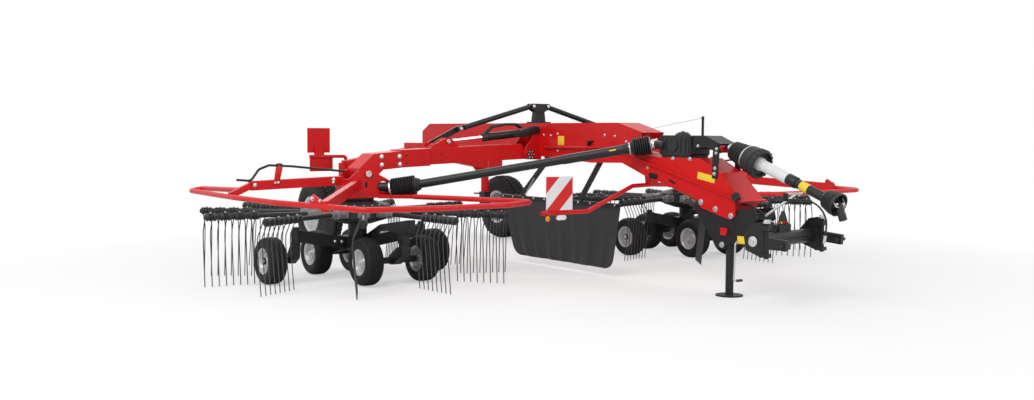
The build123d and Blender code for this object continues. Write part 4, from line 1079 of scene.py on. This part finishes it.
bail = bent([bail_ends[0], yoke_top + Vector((0.014, -0.056, -0.012)),
             yoke_top + Vector((0.020, 0.056, -0.012)), bail_ends[1]], 0.03, 4)
on(tube("pto_bail", bail, 0.0035, white_plastic, 1), "pto_slider", "guard_plastic", "pto_slider")
print("shaft ends at", [round(v, 3) for v in yoke_end])

# %% [markdown]
# The warning boards are folded steel sheets with reflective film: red and white bands at 45
# degrees. The bands are worked out in the finish from the board's own place, so their edges stay
# sharp. The faces that look back are plain paint.

# %% Warning boards
BOARD = 0.282
BOARD_BAND = 0.100
BOARD_THICKNESS = 0.0028
FRONT_BOARD = (4.1125, -1.071, 0.822)
REAR_BOARD = (-0.1435, -1.216, 1.225)


def board_film(name, place):
    """Bands counted from the board's upper outer corner, the same on the mirrored board."""
    finish = Finish(name, Metallic=0.0)
    outer = BOARD / 2 - place[1]
    top = place[2] + BOARD / 2
    across = finish.axis("Y").math("ABSOLUTE")
    along = ((outer - across) + (top - finish.axis("Z"))) * (1 / (BOARD_BAND * sqrt(2)))
    red = along.math("MODULO", 2.0).below(1.0)
    cells = finish.node("TexVoronoi", Vector=finish.coordinates, Scale=260.0)
    finish.set("Base Color", finish.mix(red, (0.78, 0.79, 0.81), (0.66, 0.018, 0.016)))
    finish.set("Roughness", (cells * 0.15 + 0.26).limited())
    return finish.material


def board(name, place, film, face):
    """A sheet with a rolled edge all round, its film on the side that face points to."""
    nothing_selected()
    bpy.ops.mesh.primitive_cube_add(size=1, scale=(BOARD_THICKNESS, BOARD - 0.001, BOARD - 0.001),
                                    location=at(*place))
    sheet = bpy.context.object
    bpy.ops.object.transform_apply(location=True, rotation=True, scale=True)
    bpy.ops.object.mode_set(mode="EDIT")
    bpy.ops.mesh.select_all(action="DESELECT")
    shape = bmesh.from_edit_mesh(sheet.data)
    for polygon in shape.faces:
        polygon.select = polygon.normal.x * face > 0.9
    bmesh.update_edit_mesh(sheet.data)
    bpy.ops.mesh.inset(thickness=0.004, depth=0)
    bpy.ops.transform.translate(value=(0.0005 * face, 0, 0))
    bpy.ops.object.mode_set(mode="OBJECT")
    placed(sheet, name, red_paint, None, 0)
    sheet.data.materials.append(film)
    for polygon in sheet.data.polygons:
        filmed = polygon.normal.x * face > 0.9 and polygon.area > BOARD * BOARD * 0.8
        polygon.material_index = 1 if filmed else 0
    return sheet


for name, place, face in (("front_board", FRONT_BOARD, 1), ("rear_board", REAR_BOARD, -1)):
    film = board_film(name + "_film", place)
    for sheet in both_sides(board(name, place, film, face), "frame", "board_sheet"):
        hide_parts("boards")
print("boards", BOARD, "m square")

# %% [markdown]
# Under each front board hang an amber reflector in a round cup and a clear marker lamp with a red
# lens behind it. Lenses are bright and glossy, and their cups are black.

# %% Lamps
LAMP_X = 4.088
LAMP_Z = 0.622


def stadium(length, width, steps=8):
    """An outline with two straight sides and round ends, long along local X."""
    half = (length - width) / 2
    return [(s * half + width / 2 * cos(a), width / 2 * sin(a)) for s, start in ((1, -90), (-1, 90))
            for a in [radians(start + 180 * k / steps) for k in range(steps + 1)]]


def lamp_set():
    """The amber reflector in its cup and the clear and red marker lamp, for the right."""
    cup = turned("amber_cup", [(-0.013, 0.020), (-0.012, 0.0275), (0.008, 0.0275), (0.010, 0.0245)],
                 at(LAMP_X, -1.182, LAMP_Z - 0.009), AHEAD, guard_plastic, 32)
    lens = turned("amber_lens", [(0.006, 0.0245), (0.011, 0.0235), (0.0125, 0.016), (0.0125, 0.003)],
                  at(LAMP_X, -1.182, LAMP_Z - 0.009), AHEAD, amber_lens, 32)
    pieces = [cup, lens]
    for name, x, thick, finish in (("marker_clear", LAMP_X + 0.009, 0.018, clear_lens),
                                   ("marker_base", LAMP_X - 0.004, 0.010, guard_plastic),
                                   ("marker_red", LAMP_X - 0.014, 0.011, red_lens)):
        pieces.append(plate(name, stadium(0.100, 0.042), thick, facing_ahead(x, -1.0375, LAMP_Z - 0.005),
                            finish, 0.003))
    return pieces


for piece in lamp_set():
    for lamp in both_sides(piece, "frame", "lamp_glass"):
        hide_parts("lamps")
print("lamps", LAMP_Z, "m above the ground")

# %% [markdown]
# The swath curtain is a sheet of coated fabric, cut with round lower corners and bolted under its
# rail. It hangs nearly flat and sways a little, more toward its free edge, so a grid of the cut
# shape is moved in long shallow waves that grow with the depth below the rail.

# %% Curtain
CURTAIN_REAR = 1.890
CURTAIN_FRONT = 3.770
CURTAIN_TOP = 0.652
CURTAIN_LOW = 0.070
CURTAIN_PLANE = -0.088
CURTAIN_CORNER = 0.090
CLOTH_THICKNESS = 0.003


def curtain_edge(z):
    """The rear and front limit of the cloth at a height: straight slanting sides, round corners."""
    share = (CURTAIN_TOP - z) / (CURTAIN_TOP - CURTAIN_LOW)
    rear = CURTAIN_REAR + 0.245 * share
    front_edge = CURTAIN_FRONT - 0.100 * share
    rise = z - CURTAIN_LOW
    if rise < CURTAIN_CORNER:
        bite = CURTAIN_CORNER - sqrt(max(0.0, CURTAIN_CORNER ** 2 - (CURTAIN_CORNER - rise) ** 2))
        rear += bite
        front_edge -= bite
    return rear, front_edge


def curtain_cloth():
    """The cut sheet as a waved grid, thickened, with its flat coordinates kept for the weave."""
    columns, rows = 96, 40
    nothing_selected()
    bpy.ops.mesh.primitive_grid_add(x_subdivisions=columns, y_subdivisions=rows, size=1)
    cloth = bpy.context.object
    cloth.data.uv_layers[0].name = "cloth"
    for vertex in cloth.data.vertices:
        across = vertex.co.x + 0.5
        down = 0.5 - vertex.co.y
        z = CURTAIN_TOP - 0.001 - down * (CURTAIN_TOP - CURTAIN_LOW)
        rear, front_edge = curtain_edge(z)
        x = rear + (front_edge - rear) * across
        sway = (0.0055 * sin(across * 23 + 0.6) + 0.0042 * sin(across * 52 + 2.0 + down)
                + 0.003 * sin(across * 9 - down * 3) + 0.0016 * sin(across * 97 - down * 2))
        vertex.co = at(x, CURTAIN_PLANE + sway * down ** 1.3, z)
    solidify = cloth.modifiers.new("thickness", "SOLIDIFY")
    solidify.thickness = CLOTH_THICKNESS
    solidify.offset = 0
    only(cloth)
    bpy.ops.object.modifier_apply(modifier="thickness")
    placed(cloth, "curtain_sheet", fabric, None, 60)
    on(cloth, "frame", "curtain_cloth", "curtain")


curtain_cloth()

# %% [markdown]
# Small hardware makes a machine believable. Bolt heads, discs of painted shade for holes and
# blank plates stand where the photograph shows them, on the face that carries them. Each table
# lists places by body, and its heads are joined, so the list of pieces stays short.

# %% Bolts and pins


def heads(name, body, rows, mirrored=True):
    """Bolt heads from rows of place, direction and width across flats, joined on one body."""
    made = joined(name, [hex_bolt(name, at(*place), way, size) for place, way, size in rows])
    return both_sides(made, body, "zinc") if mirrored else on(made, body, "zinc")


PIN_HEIGHT = 0.010


def pin_end(name, place, way, radius):
    """The end of a pin with a dished middle."""
    low = PIN_HEIGHT * 0.7
    return turned(name, [(-0.002, radius), (low, radius), (PIN_HEIGHT, radius * 0.86),
                         (PIN_HEIGHT, radius * 0.5), (low, radius * 0.44), (low, radius * 0.05)],
                  at(*place), way, zinc, 28)


heads("sleeve_bolts", "arm", [((2.480 + s * 0.113, y, z), (s, 0, 0), 0.026) for s in (-1, 1)
                              for y, z in ((-1.916, 1.102), (-1.731, 1.103), (-1.914, 1.028),
                                           (-1.726, 1.030))])
heads("boom_bolts", "arm", [((2.485, -3.075, 0.868), AHEAD, 0.022), ((2.485, -2.340, 0.900), AHEAD, 0.022),
                            ((2.485, -2.340, 0.875), AHEAD, 0.020)])
heads("beam_bolts", "frame", [((x, -0.130, z), RIGHT_WAY, 0.016)
                              for x, z in ((2.666, 1.306), (2.779, 1.301), (2.888, 1.317), (2.889, 1.154),
                                           (3.591, 1.311), (3.731, 1.301), (3.886, 1.252),
                                           (4.169, 1.024))])
heads("nose_bolts", "frame", [((x, -0.130, z), RIGHT_WAY, 0.030)
                              for x, z in ((4.826, 0.759), (4.992, 0.711), (5.163, 0.665))])
heads("gearbox_feet", "frame", [((x, -0.130, z), RIGHT_WAY, 0.022)
                                for x, z in ((4.486, 1.114), (4.690, 1.115))])
heads("drawbar_bolts", "frame", [((5.056, -0.114, 0.421), RIGHT_WAY, 0.030),
                                 ((5.374, -0.114, 0.479), RIGHT_WAY, 0.032)])
heads("cover_bolts", "frame", [((4.749, -0.0975, 1.225), RIGHT_WAY, 0.017),
                               ((5.000, -0.138, 1.205), RIGHT_WAY, 0.017),
                               ((4.996, -0.138, 1.170), RIGHT_WAY, 0.017),
                               ((4.985, -0.138, 1.045), RIGHT_WAY, 0.020),
                               ((4.978, -0.138, 1.000), RIGHT_WAY, 0.020)])
heads("rail_bolts", "frame", [((1.940 + 0.1775 * k, -0.108, 0.666), RIGHT_WAY, 0.013) for k in range(11)],
      False)
heads("carriage_bolts", "arm", [((2.492, -2.267, 0.345), (0.99, 0.12, 0), 0.018),
                                ((2.498, -2.335, 0.350), (0.99, 0.12, 0), 0.018)])
pins = [pin_end("pivot_pin", (2.627, -2.066, 0.950), AHEAD, 0.030),
        pin_end("eye_pin", (2.524, -1.157, 1.240), AHEAD, 0.021),
        pin_end("pivot_pin", (2.333, -2.066, 0.950), (-1, 0, 0), 0.030)]
both_sides(joined("arm_pins", pins), "arm", "zinc")
both_sides(pin_end("stay_pin", (2.418, -0.946, 1.362), AHEAD, 0.017), "stay_tube", "zinc")
on(joined("tripod_pins", [pin_end("tripod_pin", (2.444, s * 0.090, 1.595), AHEAD, 0.016)
                          for s in (-1, 1)]), "frame", "zinc")
print("bolts and pins in place")

# %% [markdown]
# Holes through plates are shown by dark discs of painted shade, which stand in for the shade
# inside them, with a thin lip that catches light. The small plates on the beam are plain yellow.

# %% Holes and blank plates


def hole_shade_discs(name, body, rows, mirrored=True):
    """Discs of painted shade over openings, from rows of place, direction, length, width and the way that
    the length runs.
    """
    made = joined(name, [plate(name, stadium(length, width), 0.0014,
                               facing(at(*place), way, Vector(along)), hole_black, 0.0004)
                         for place, way, length, width, along in rows])
    return both_sides(made, body, "dark_steel") if mirrored else on(made, body, "dark_steel")


# painted shade: dark discs over the holes and slots of the arm, the beam and the cover
hole_shade_discs("arm_holes", "arm", [((x, y, z), AHEAD, 0.0162, 0.016, (0, 1, 0))
                                for x, y, z in ((2.593, -1.657, 1.109), (2.593, -1.657, 1.040),
                                                (2.593, -1.469, 1.116), (2.593, -1.469, 1.044),
                                                (2.580, -1.275, 1.120), (2.580, -1.275, 1.050))]
           + [((2.6115, -2.082, 0.855), AHEAD, 0.052, 0.024, (0, 0.1, 1))])
hole_shade_discs("beam_holes", "frame", [((4.243, -0.130, 0.956), RIGHT_WAY, 0.120, 0.050, (1, 0, -0.12)),
                                   ((4.479, -0.130, 0.915), RIGHT_WAY, 0.090, 0.022, (1, 0, -0.36))])
hole_shade_discs("cover_holes", "frame", [((x, y, z), RIGHT_WAY, 0.0202, 0.020, AHEAD) for x, y, z in (
    (4.748, -0.0975, 1.259), (4.829, -0.0975, 1.259), (4.935, -0.0975, 1.226))])


def blank_plate(name, place, way, size, tilt=0.0):
    """A plain yellow plate, its size as length and height, tilted in its own plane."""
    turn = radians(tilt)
    frame_of = facing(at(*place), way, Vector((cos(turn), 0, sin(turn))))
    return on(plate(name, rectangle(*size), 0.0016, frame_of, yellow_band, 0.0004), "frame", "lamp_glass")


blank_plate("plate_beam", (2.938, -0.1305, 1.253), RIGHT_WAY, (0.096, 0.088))
blank_plate("plate_nose", (4.880, -0.1305, 0.966), RIGHT_WAY, (0.200, 0.058), -9)
blank_plate("plate_drawbar", (5.272, -0.1145, 0.476), RIGHT_WAY, (0.100, 0.062))
drawbar_lug = plate("drawbar_lug", [(-0.036, -0.028), (0.028, -0.034), (0.040, 0.010), (0.034, 0.030),
                                    (-0.036, 0.030)], 0.022, facing_right(5.083, -0.122, 0.532),
                    red_paint, 0.004)
on(drawbar_lug, "frame", "red_paint")
print("holes and plates in place")

# %% [markdown]
# Knobs are turned parts with ribs for the hand. The black ring with a red centre is the cover of
# the arm's hinge pin, and the ribbed one on the nose closes the beam.

# %% Knobs
HINGE_FACE = (2.629, -0.270, 1.115)


def around(count, radius, start=0.0):
    """Even places round a circle, as pairs of distances from its centre."""
    return [(radius * cos(a), radius * sin(a)) for a in (start + 2 * pi * k / count for k in range(count))]


hinge_cover = turned("hinge_cover", [(-0.002, 0.046), (0.010, 0.046), (0.014, 0.042), (0.014, 0.020),
                                     (0.011, 0.018), (0.011, 0.002)], at(*HINGE_FACE), AHEAD,
                     guard_plastic, 40)
both_sides(hinge_cover, "frame", "guard_plastic")
hinge_centre = turned("hinge_centre", [(0.010, 0.016), (0.018, 0.016), (0.020, 0.013), (0.020, 0.002)],
                      at(*HINGE_FACE), AHEAD, red_paint, 28)
both_sides(hinge_centre, "frame", "red_paint")
hinge_spots = [turned("hinge_spot", [(0.0135, 0.0085), (0.0148, 0.0078), (0.0148, 0.001)],
                      at(HINGE_FACE[0], HINGE_FACE[1] + y, HINGE_FACE[2] + z), AHEAD, wheel_silver, 14)
               for y, z in around(6, 0.031)]
both_sides(joined("hinge_spots", hinge_spots), "frame", "zinc")


def ribbed_knob(name, place, way, radius, height, count):
    """A moulded knob: a bevelled disc with grips standing out from its edge."""
    body = turned(name, [(0, radius * 0.8), (height * 0.2, radius * 0.93), (height * 0.85, radius * 0.90),
                         (height, radius * 0.78), (height, radius * 0.3), (height * 0.9, radius * 0.25),
                         (height * 0.9, 0.002)], at(*place), way, guard_plastic, 32)
    grips = []
    for k in range(count):
        grip = plate(name, stadium(height * 0.72, radius * 0.14, 4), radius * 0.14,
                     facing(ORIGIN, AHEAD, Vector(UP)), guard_plastic, 0.001)
        grip.data.transform(Matrix.Translation((radius * 0.93, 0, height * 0.5)))
        grip.data.transform(facing(at(*place), way) @ Matrix.Rotation(2 * pi * k / count, 4, "Z"))
        grips.append(grip)
    return joined(name, [body] + grips)


on(ribbed_knob("nose_knob", (5.231, -0.129, 0.820), RIGHT_WAY, 0.040, 0.042, 14), "frame", "guard_plastic")
print("hinge covers and knob in place")

# %% [markdown]
# The gearbox is a ribbed casting: bolted covers on both sides, a domed cap with its own bolts, and
# bright flanges where the shafts leave it. The bare steel post behind it holds two thin wires.

# %% Gearbox details
GEAR_MIDDLE = (4.470, 1.228)


def gearbox_side():
    """The round cover, the ribs and the bolts on the gearbox's right side."""
    x, z = GEAR_MIDDLE
    made = [turned("gearbox_side", [(0, 0.058), (0.004, 0.058), (0.006, 0.055), (0.006, 0.045),
                                    (0.003, 0.043), (0.003, 0.002)], at(x, -0.123, z), RIGHT_WAY,
                   cast_iron, 40)]
    for dx, dz in around(8, 0.050, 0.2):
        made.append(hex_bolt("bolt", at(x + dx, -0.128, z + dz), RIGHT_WAY, 0.011, cast_iron, False))
    for offset in (-0.135, -0.085, 0.095, 0.150, 0.190):
        made.append(plate("rib", rectangle(0.006, 0.140), 0.010,
                          facing_right(x + offset, -0.119, z), cast_iron, 0.0012))
    for dx, dz in ((-0.140, -0.068), (0.185, -0.068), (-0.140, 0.068), (0.185, 0.068)):
        made.append(hex_bolt("bolt", at(x + dx, -0.115, z + dz), RIGHT_WAY, 0.013, cast_iron, False))
    return joined("gearbox_side", made)


both_sides(gearbox_side(), "frame", "dark_casting")
gearbox_cap = [turned("gearbox_cap", [(-0.002, 0.066), (0.006, 0.066), (0.009, 0.062), (0.012, 0.058),
                                      (0.022, 0.050), (0.028, 0.034), (0.030, 0.016), (0.036, 0.014),
                                      (0.037, 0.003)], at(GEAR_MIDDLE[0], 0, 1.313), UP, cast_iron, 40)]
gearbox_cap += [hex_bolt("bolt", at(GEAR_MIDDLE[0] + x, y, 1.318), UP, 0.010, cast_iron, False)
                for x, y in around(6, 0.060)]
on(joined("gearbox_cap", gearbox_cap), "frame", "dark_casting")
output_flange = drive("output_flange", [(-0.132, 0.044), (-0.131, 0.050), (-0.122, 0.051),
                                        (-0.120, 0.046), (-0.096, 0.0445), (-0.094, 0.050),
                                        (-0.086, 0.050), (-0.084, 0.0445), (-0.074, 0.0440)], zinc, 36)
both_sides(output_flange, "frame", "zinc")
cover_flap = plate("cover_flap", [(-0.088, -0.034), (0.088, -0.034), (0.088, 0.030), (-0.088, 0.030)],
                   0.004, facing(at(4.984, 0, 1.206), (1, 0, 0.1), Vector((0, 1, 0))), red_paint, 0.001)
on(cover_flap, "frame", "red_paint")
on(pto("input_clamp", strap(-0.108, 0.026, 0.036, 0.040), zinc, 32), "frame", "zinc")
POST_TOP = (4.705, 0, 1.462)
for name, end in (("post_wire_rear", (3.937, 0, 1.352)), ("post_wire_front", (4.750, 0.050, 1.300))):
    on(tube(name, [at(*POST_TOP), at(*end)], 0.0022, zinc, 1), "frame", "zinc")
on(turned("post_cap", [(-0.012, 0.0112), (-0.010, 0.0125), (0.006, 0.0125), (0.009, 0.009),
                       (0.010, 0.001)], at(4.705, 0, 1.466), UP, guard_plastic, 20), "frame",
   "guard_plastic")
print("gearbox dressed")

# %% [markdown]
# Along the boom runs a thin lever that locks the rotor for the road. It is a bent steel rod held by
# a clip on a small red bracket, and a rail for hanging tools runs along the beam's side.

# %% Lever and rail
LEVER = [(2.462, -3.227, 0.915), (2.462, -3.102, 0.904), (2.462, -3.029, 1.001), (2.462, -2.937, 1.035),
         (2.462, -2.724, 1.023), (2.462, -2.219, 0.972)]
both_sides(tube("boom_lever", [at(*p) for p in LEVER], 0.0105, grey_paint, 3, 0.05), "arm", "dark_steel")
bracket_shape = [(-0.030, -0.085), (0.022, -0.085), (0.056, 0.060), (0.022, 0.078), (-0.006, 0.060)]
both_sides(plate("lever_bracket", bracket_shape, 0.008, facing_ahead(2.488, -2.880, 0.955), red_paint),
           "arm", "red_paint")
lever_clip = plate("lever_clip", [(-0.024, -0.017), (0.024, -0.017), (0.024, 0.014), (0.016, 0.021),
                                  (-0.016, 0.021), (-0.024, 0.014)], 0.034,
                   facing_ahead(2.466, -2.845, 1.030), guard_plastic, 0.003)
both_sides(lever_clip, "arm", "guard_plastic")
heads("lever_bolts", "arm", [((2.492, -2.893, 0.884), AHEAD, 0.013),
                             ((2.492, -2.866, 0.886), AHEAD, 0.013)])
tool_rail = tube("tool_rail", [at(*p) for p in ((2.700, -0.128, 1.187), (2.700, -0.152, 1.187),
                                                (3.430, -0.152, 1.194), (3.430, -0.128, 1.194))], 0.012,
                 red_paint, 4, 0.02)
both_sides(tool_rail, "frame", "red_paint")
rail_latch = plate("rail_latch", [(-0.030, -0.030), (-0.012, -0.030), (-0.012, 0.022), (0.034, 0.022),
                                  (0.034, 0.036), (-0.030, 0.036)], 0.030,
                   facing_right(3.395, -0.146, 1.222), guard_plastic, 0.003)
on(rail_latch, "frame", "guard_plastic")
print("lever and rail in place")

# %% [markdown]
# Where the leg of the guard hoop meets its tube, a plate grips it with two bright bolts. The plate
# stands across the hoop's own direction, so its outline is drawn flat and then turned there.

# %% Hoop clamp
hoop_way = Vector((0.27, -0.963, 0))
hoop_ear = plate("hoop_ear", [(-0.075, -0.045), (0.060, -0.045), (0.080, 0.010), (0.030, 0.030),
                              (-0.035, 0.060), (-0.072, 0.040)], 0.014,
                 facing(at(3.640, -3.060, 0.785), hoop_way, Vector((0.963, 0.27, 0))), red_paint, 0.003)
both_sides(hoop_ear, "arm", "red_paint")
heads("hoop_bolts", "arm", [((3.606, -3.077, 0.812), hoop_way, 0.024),
                            ((3.690, -3.054, 0.800), hoop_way, 0.018)])
print("hoops clamped")

# %% [markdown]
# The lift cylinder has a gland nut at its mouth and a port block, and its hoses run along it in a
# corrugated sleeve: rings threaded close together on a bent line. A black guard plate covers them
# at the beam.

# %% Cylinder details
CYLINDER_FOOT = (2.480, -0.200, 1.330)
cylinder_way = Vector((0, -0.957, -0.090)).normalized()
gland_nut = turned("cylinder_gland", [(0.508, 0.0390), (0.510, 0.0425), (0.536, 0.0425), (0.539, 0.036),
                                      (0.545, 0.034), (0.546, 0.0192)], at(*CYLINDER_FOOT), cylinder_way,
                   cast_iron, 32)
both_sides(gland_nut, "cylinder_barrel", "dark_paint")


def ringed_sleeve(name, points, radius, pitch, finish):
    """A corrugated sleeve: one ring copied along the arc length of a bent line."""
    line = bent([at(*p) for p in points], 0.05)
    one = ring_of(name, [(-pitch * 0.5, radius * 0.62), (-pitch * 0.5, radius * 0.84),
                         (-pitch * 0.2, radius), (pitch * 0.2, radius), (pitch * 0.5, radius * 0.84),
                         (pitch * 0.5, radius * 0.62)], ORIGIN, UP, finish, 12)
    rings = []
    run = 0.0
    for a, b in zip(line, line[1:]):
        step = b - a
        while run < step.length:
            rings.append(copied(one, facing(a + step.normalized() * run, step)))
            run += pitch
        run -= step.length
    bpy.data.objects.remove(one)
    return joined(name, rings)


sleeves = [ringed_sleeve("cylinder_hoses", [(x, -0.700, 1.325), (x, -0.640, 1.382), (x, -0.480, 1.408),
                                            (x, -0.350, 1.410), (x, -0.285, 1.378)], 0.013, 0.0105,
                         hose_rubber) for x in (2.471, 2.498)]
sleeves.append(turned("port", [(0, 0.020), (0.018, 0.020), (0.020, 0.016), (0.030, 0.014),
                               (0.031, 0.004)], at(2.480, -0.706, 1.312), (0, 0.3, 1), cast_iron, 20))
both_sides(joined("cylinder_hoses", sleeves), "cylinder_barrel", "hose_rubber")
guard_shape = [(-0.474, 1.324), (-0.449, 1.290), (-0.346, 1.277), (-0.143, 1.322), (-0.131, 1.354),
               (-0.143, 1.386), (-0.222, 1.398)]
cylinder_guard = plate("cylinder_guard", [(y + 0.3, z - 1.34) for y, z in guard_shape], 0.005,
                       facing_ahead(2.604, -0.300, 1.340), charcoal_paint, 0.002)
both_sides(cylinder_guard, "frame", "dark_paint")
print("cylinder dressed")

# %% [markdown]
# At the hitch a pale rod keeps the shaft off the ground, a crank for the jack hangs on the
# drawbar's side, clear of the foot, and small caps mark which hose is which. The headstock is parked
# a little to the left, so what it carries is drawn straight ahead and turned with it.

# %% Hitch details
rest_rod = tube("shaft_rest", [at(*p) for p in ((5.405, 0, 0.672), (5.722, 0, 0.872))], 0.0094,
                white_plastic, 3)
rest_hook = tube("shaft_hook", [at(*p) for p in ((5.722, -0.129, 0.872), (5.722, 0.061, 0.872))], 0.0082,
                 white_plastic, 3)
on(joined("shaft_rest", [rest_rod, rest_hook]), "frame", "zinc")
crank = tube("jack_crank", [at(*p) for p in ((5.221, -0.112, 0.452), (5.223, -0.138, 0.446),
                                             (5.241, -0.161, 0.257), (5.237, -0.163, 0.146),
                                             (5.239, -0.135, 0.145))], 0.007, zinc, 3, 0.02)
grip = turned("jack_grip", [(0, 0.008), (0.002, 0.0105), (0.062, 0.0115), (0.066, 0.009), (0.067, 0.001)],
              at(5.239, -0.139, 0.145), (0.06, 1, 0), guard_plastic, 20)
crank_pin = pin_end("crank_pin", (5.221, -0.1135, 0.452), RIGHT_WAY, 0.014)
on(joined("jack_crank", [crank, grip, crank_pin]), "frame", "zinc")


HITCH_X = 5.450
PARKED = radians(8)


def at_hitch(x, y, z):
    """A point from the headstock's pivot, drawn straight ahead and turned as it is parked."""
    return at(HITCH_X + x * cos(PARKED) - y * sin(PARKED), x * sin(PARKED) + y * cos(PARKED), z)


hitch_ahead = at_hitch(1, 0, 0) - at_hitch(0, 0, 0)
for name, y, finish in (("red_a", -0.066, red_lens), ("yellow", -0.030, yellow_band),
                        ("red_b", 0.006, red_lens), ("red_c", 0.042, red_lens)):
    on(turned("hose_mark_" + name, [(0, 0.0085), (0.008, 0.0085), (0.010, 0.006), (0.010, 0.001)],
              at_hitch(0.128, y, 0.634), hitch_ahead, finish, 16), "headstock", "guard_plastic")
link_ends = []
for side in (-1, 1):
    link_ends.append(turned("link_nut", [(0, 0.030), (0.010, 0.030), (0.013, 0.024), (0.026, 0.022),
                                         (0.028, 0.004)], at_hitch(0.238, side * 0.400, 0.655), UP, zinc,
                            24))
    link_ends.append(turned("tube_end", [(0, 0.040), (0.006, 0.040), (0.008, 0.034), (0.010, 0.016),
                                         (0.018, 0.015), (0.019, 0.002)],
                            at_hitch(0.125, side * 0.4105, 0.510),
                            at_hitch(0, side, 0) - at_hitch(0, 0, 0), zinc, 28))
on(joined("hitch_fittings", link_ends), "headstock", "zinc")
king_cap = turned("king_cap", [(-0.004, 0.040), (0.010, 0.040), (0.014, 0.034), (0.014, 0.016),
                               (0.024, 0.015), (0.026, 0.002)], at(HITCH_X, 0, 0.625), UP, zinc, 28)
on(king_cap, "headstock", "zinc")
strut_rod = tube("strut_rod", [at(2.493, -0.118, 0.873), at(2.342, -0.118, 0.694)], 0.006, zinc, 3)
on(strut_rod, "frame", "zinc")
print("hitch dressed")

# %% [markdown]
# The rotor's arms sit in holders on the hub's ring. A shallow domed cover with bolts round its edge
# closes the hub above, and a round housing for the cam closes it below. All of it turns with the
# rotor, so it rides on the rotor's body.

# %% Rotor hub
both_sides(turned("hub_cover", [(0.650, 0.301), (0.658, 0.303), (0.666, 0.296), (0.684, 0.252),
                                (0.694, 0.210), (0.7015, 0.150), (0.7135, 0.124), (0.7145, 0.060)],
                  at_rotor(0, 0, 0), UP, cast_iron, 64, 30), "rotor", "dark_casting")
hub_bolts = [hex_bolt("hub_bolt", at_rotor(x, y, 0.672), UP, 0.014, zinc, False)
             for x, y in around(22, 0.278)]
both_sides(joined("hub_bolts", hub_bolts), "rotor", "zinc")
both_sides(turned("cam_housing", [(0.505, 0.135), (0.512, 0.150), (0.528, 0.222), (0.540, 0.262),
                                  (0.548, 0.268), (0.556, 0.262), (0.560, 0.240)], at_rotor(0, 0, 0), UP,
                  cast_iron, 64, 30), "rotor", "dark_casting")
print("hub dressed")
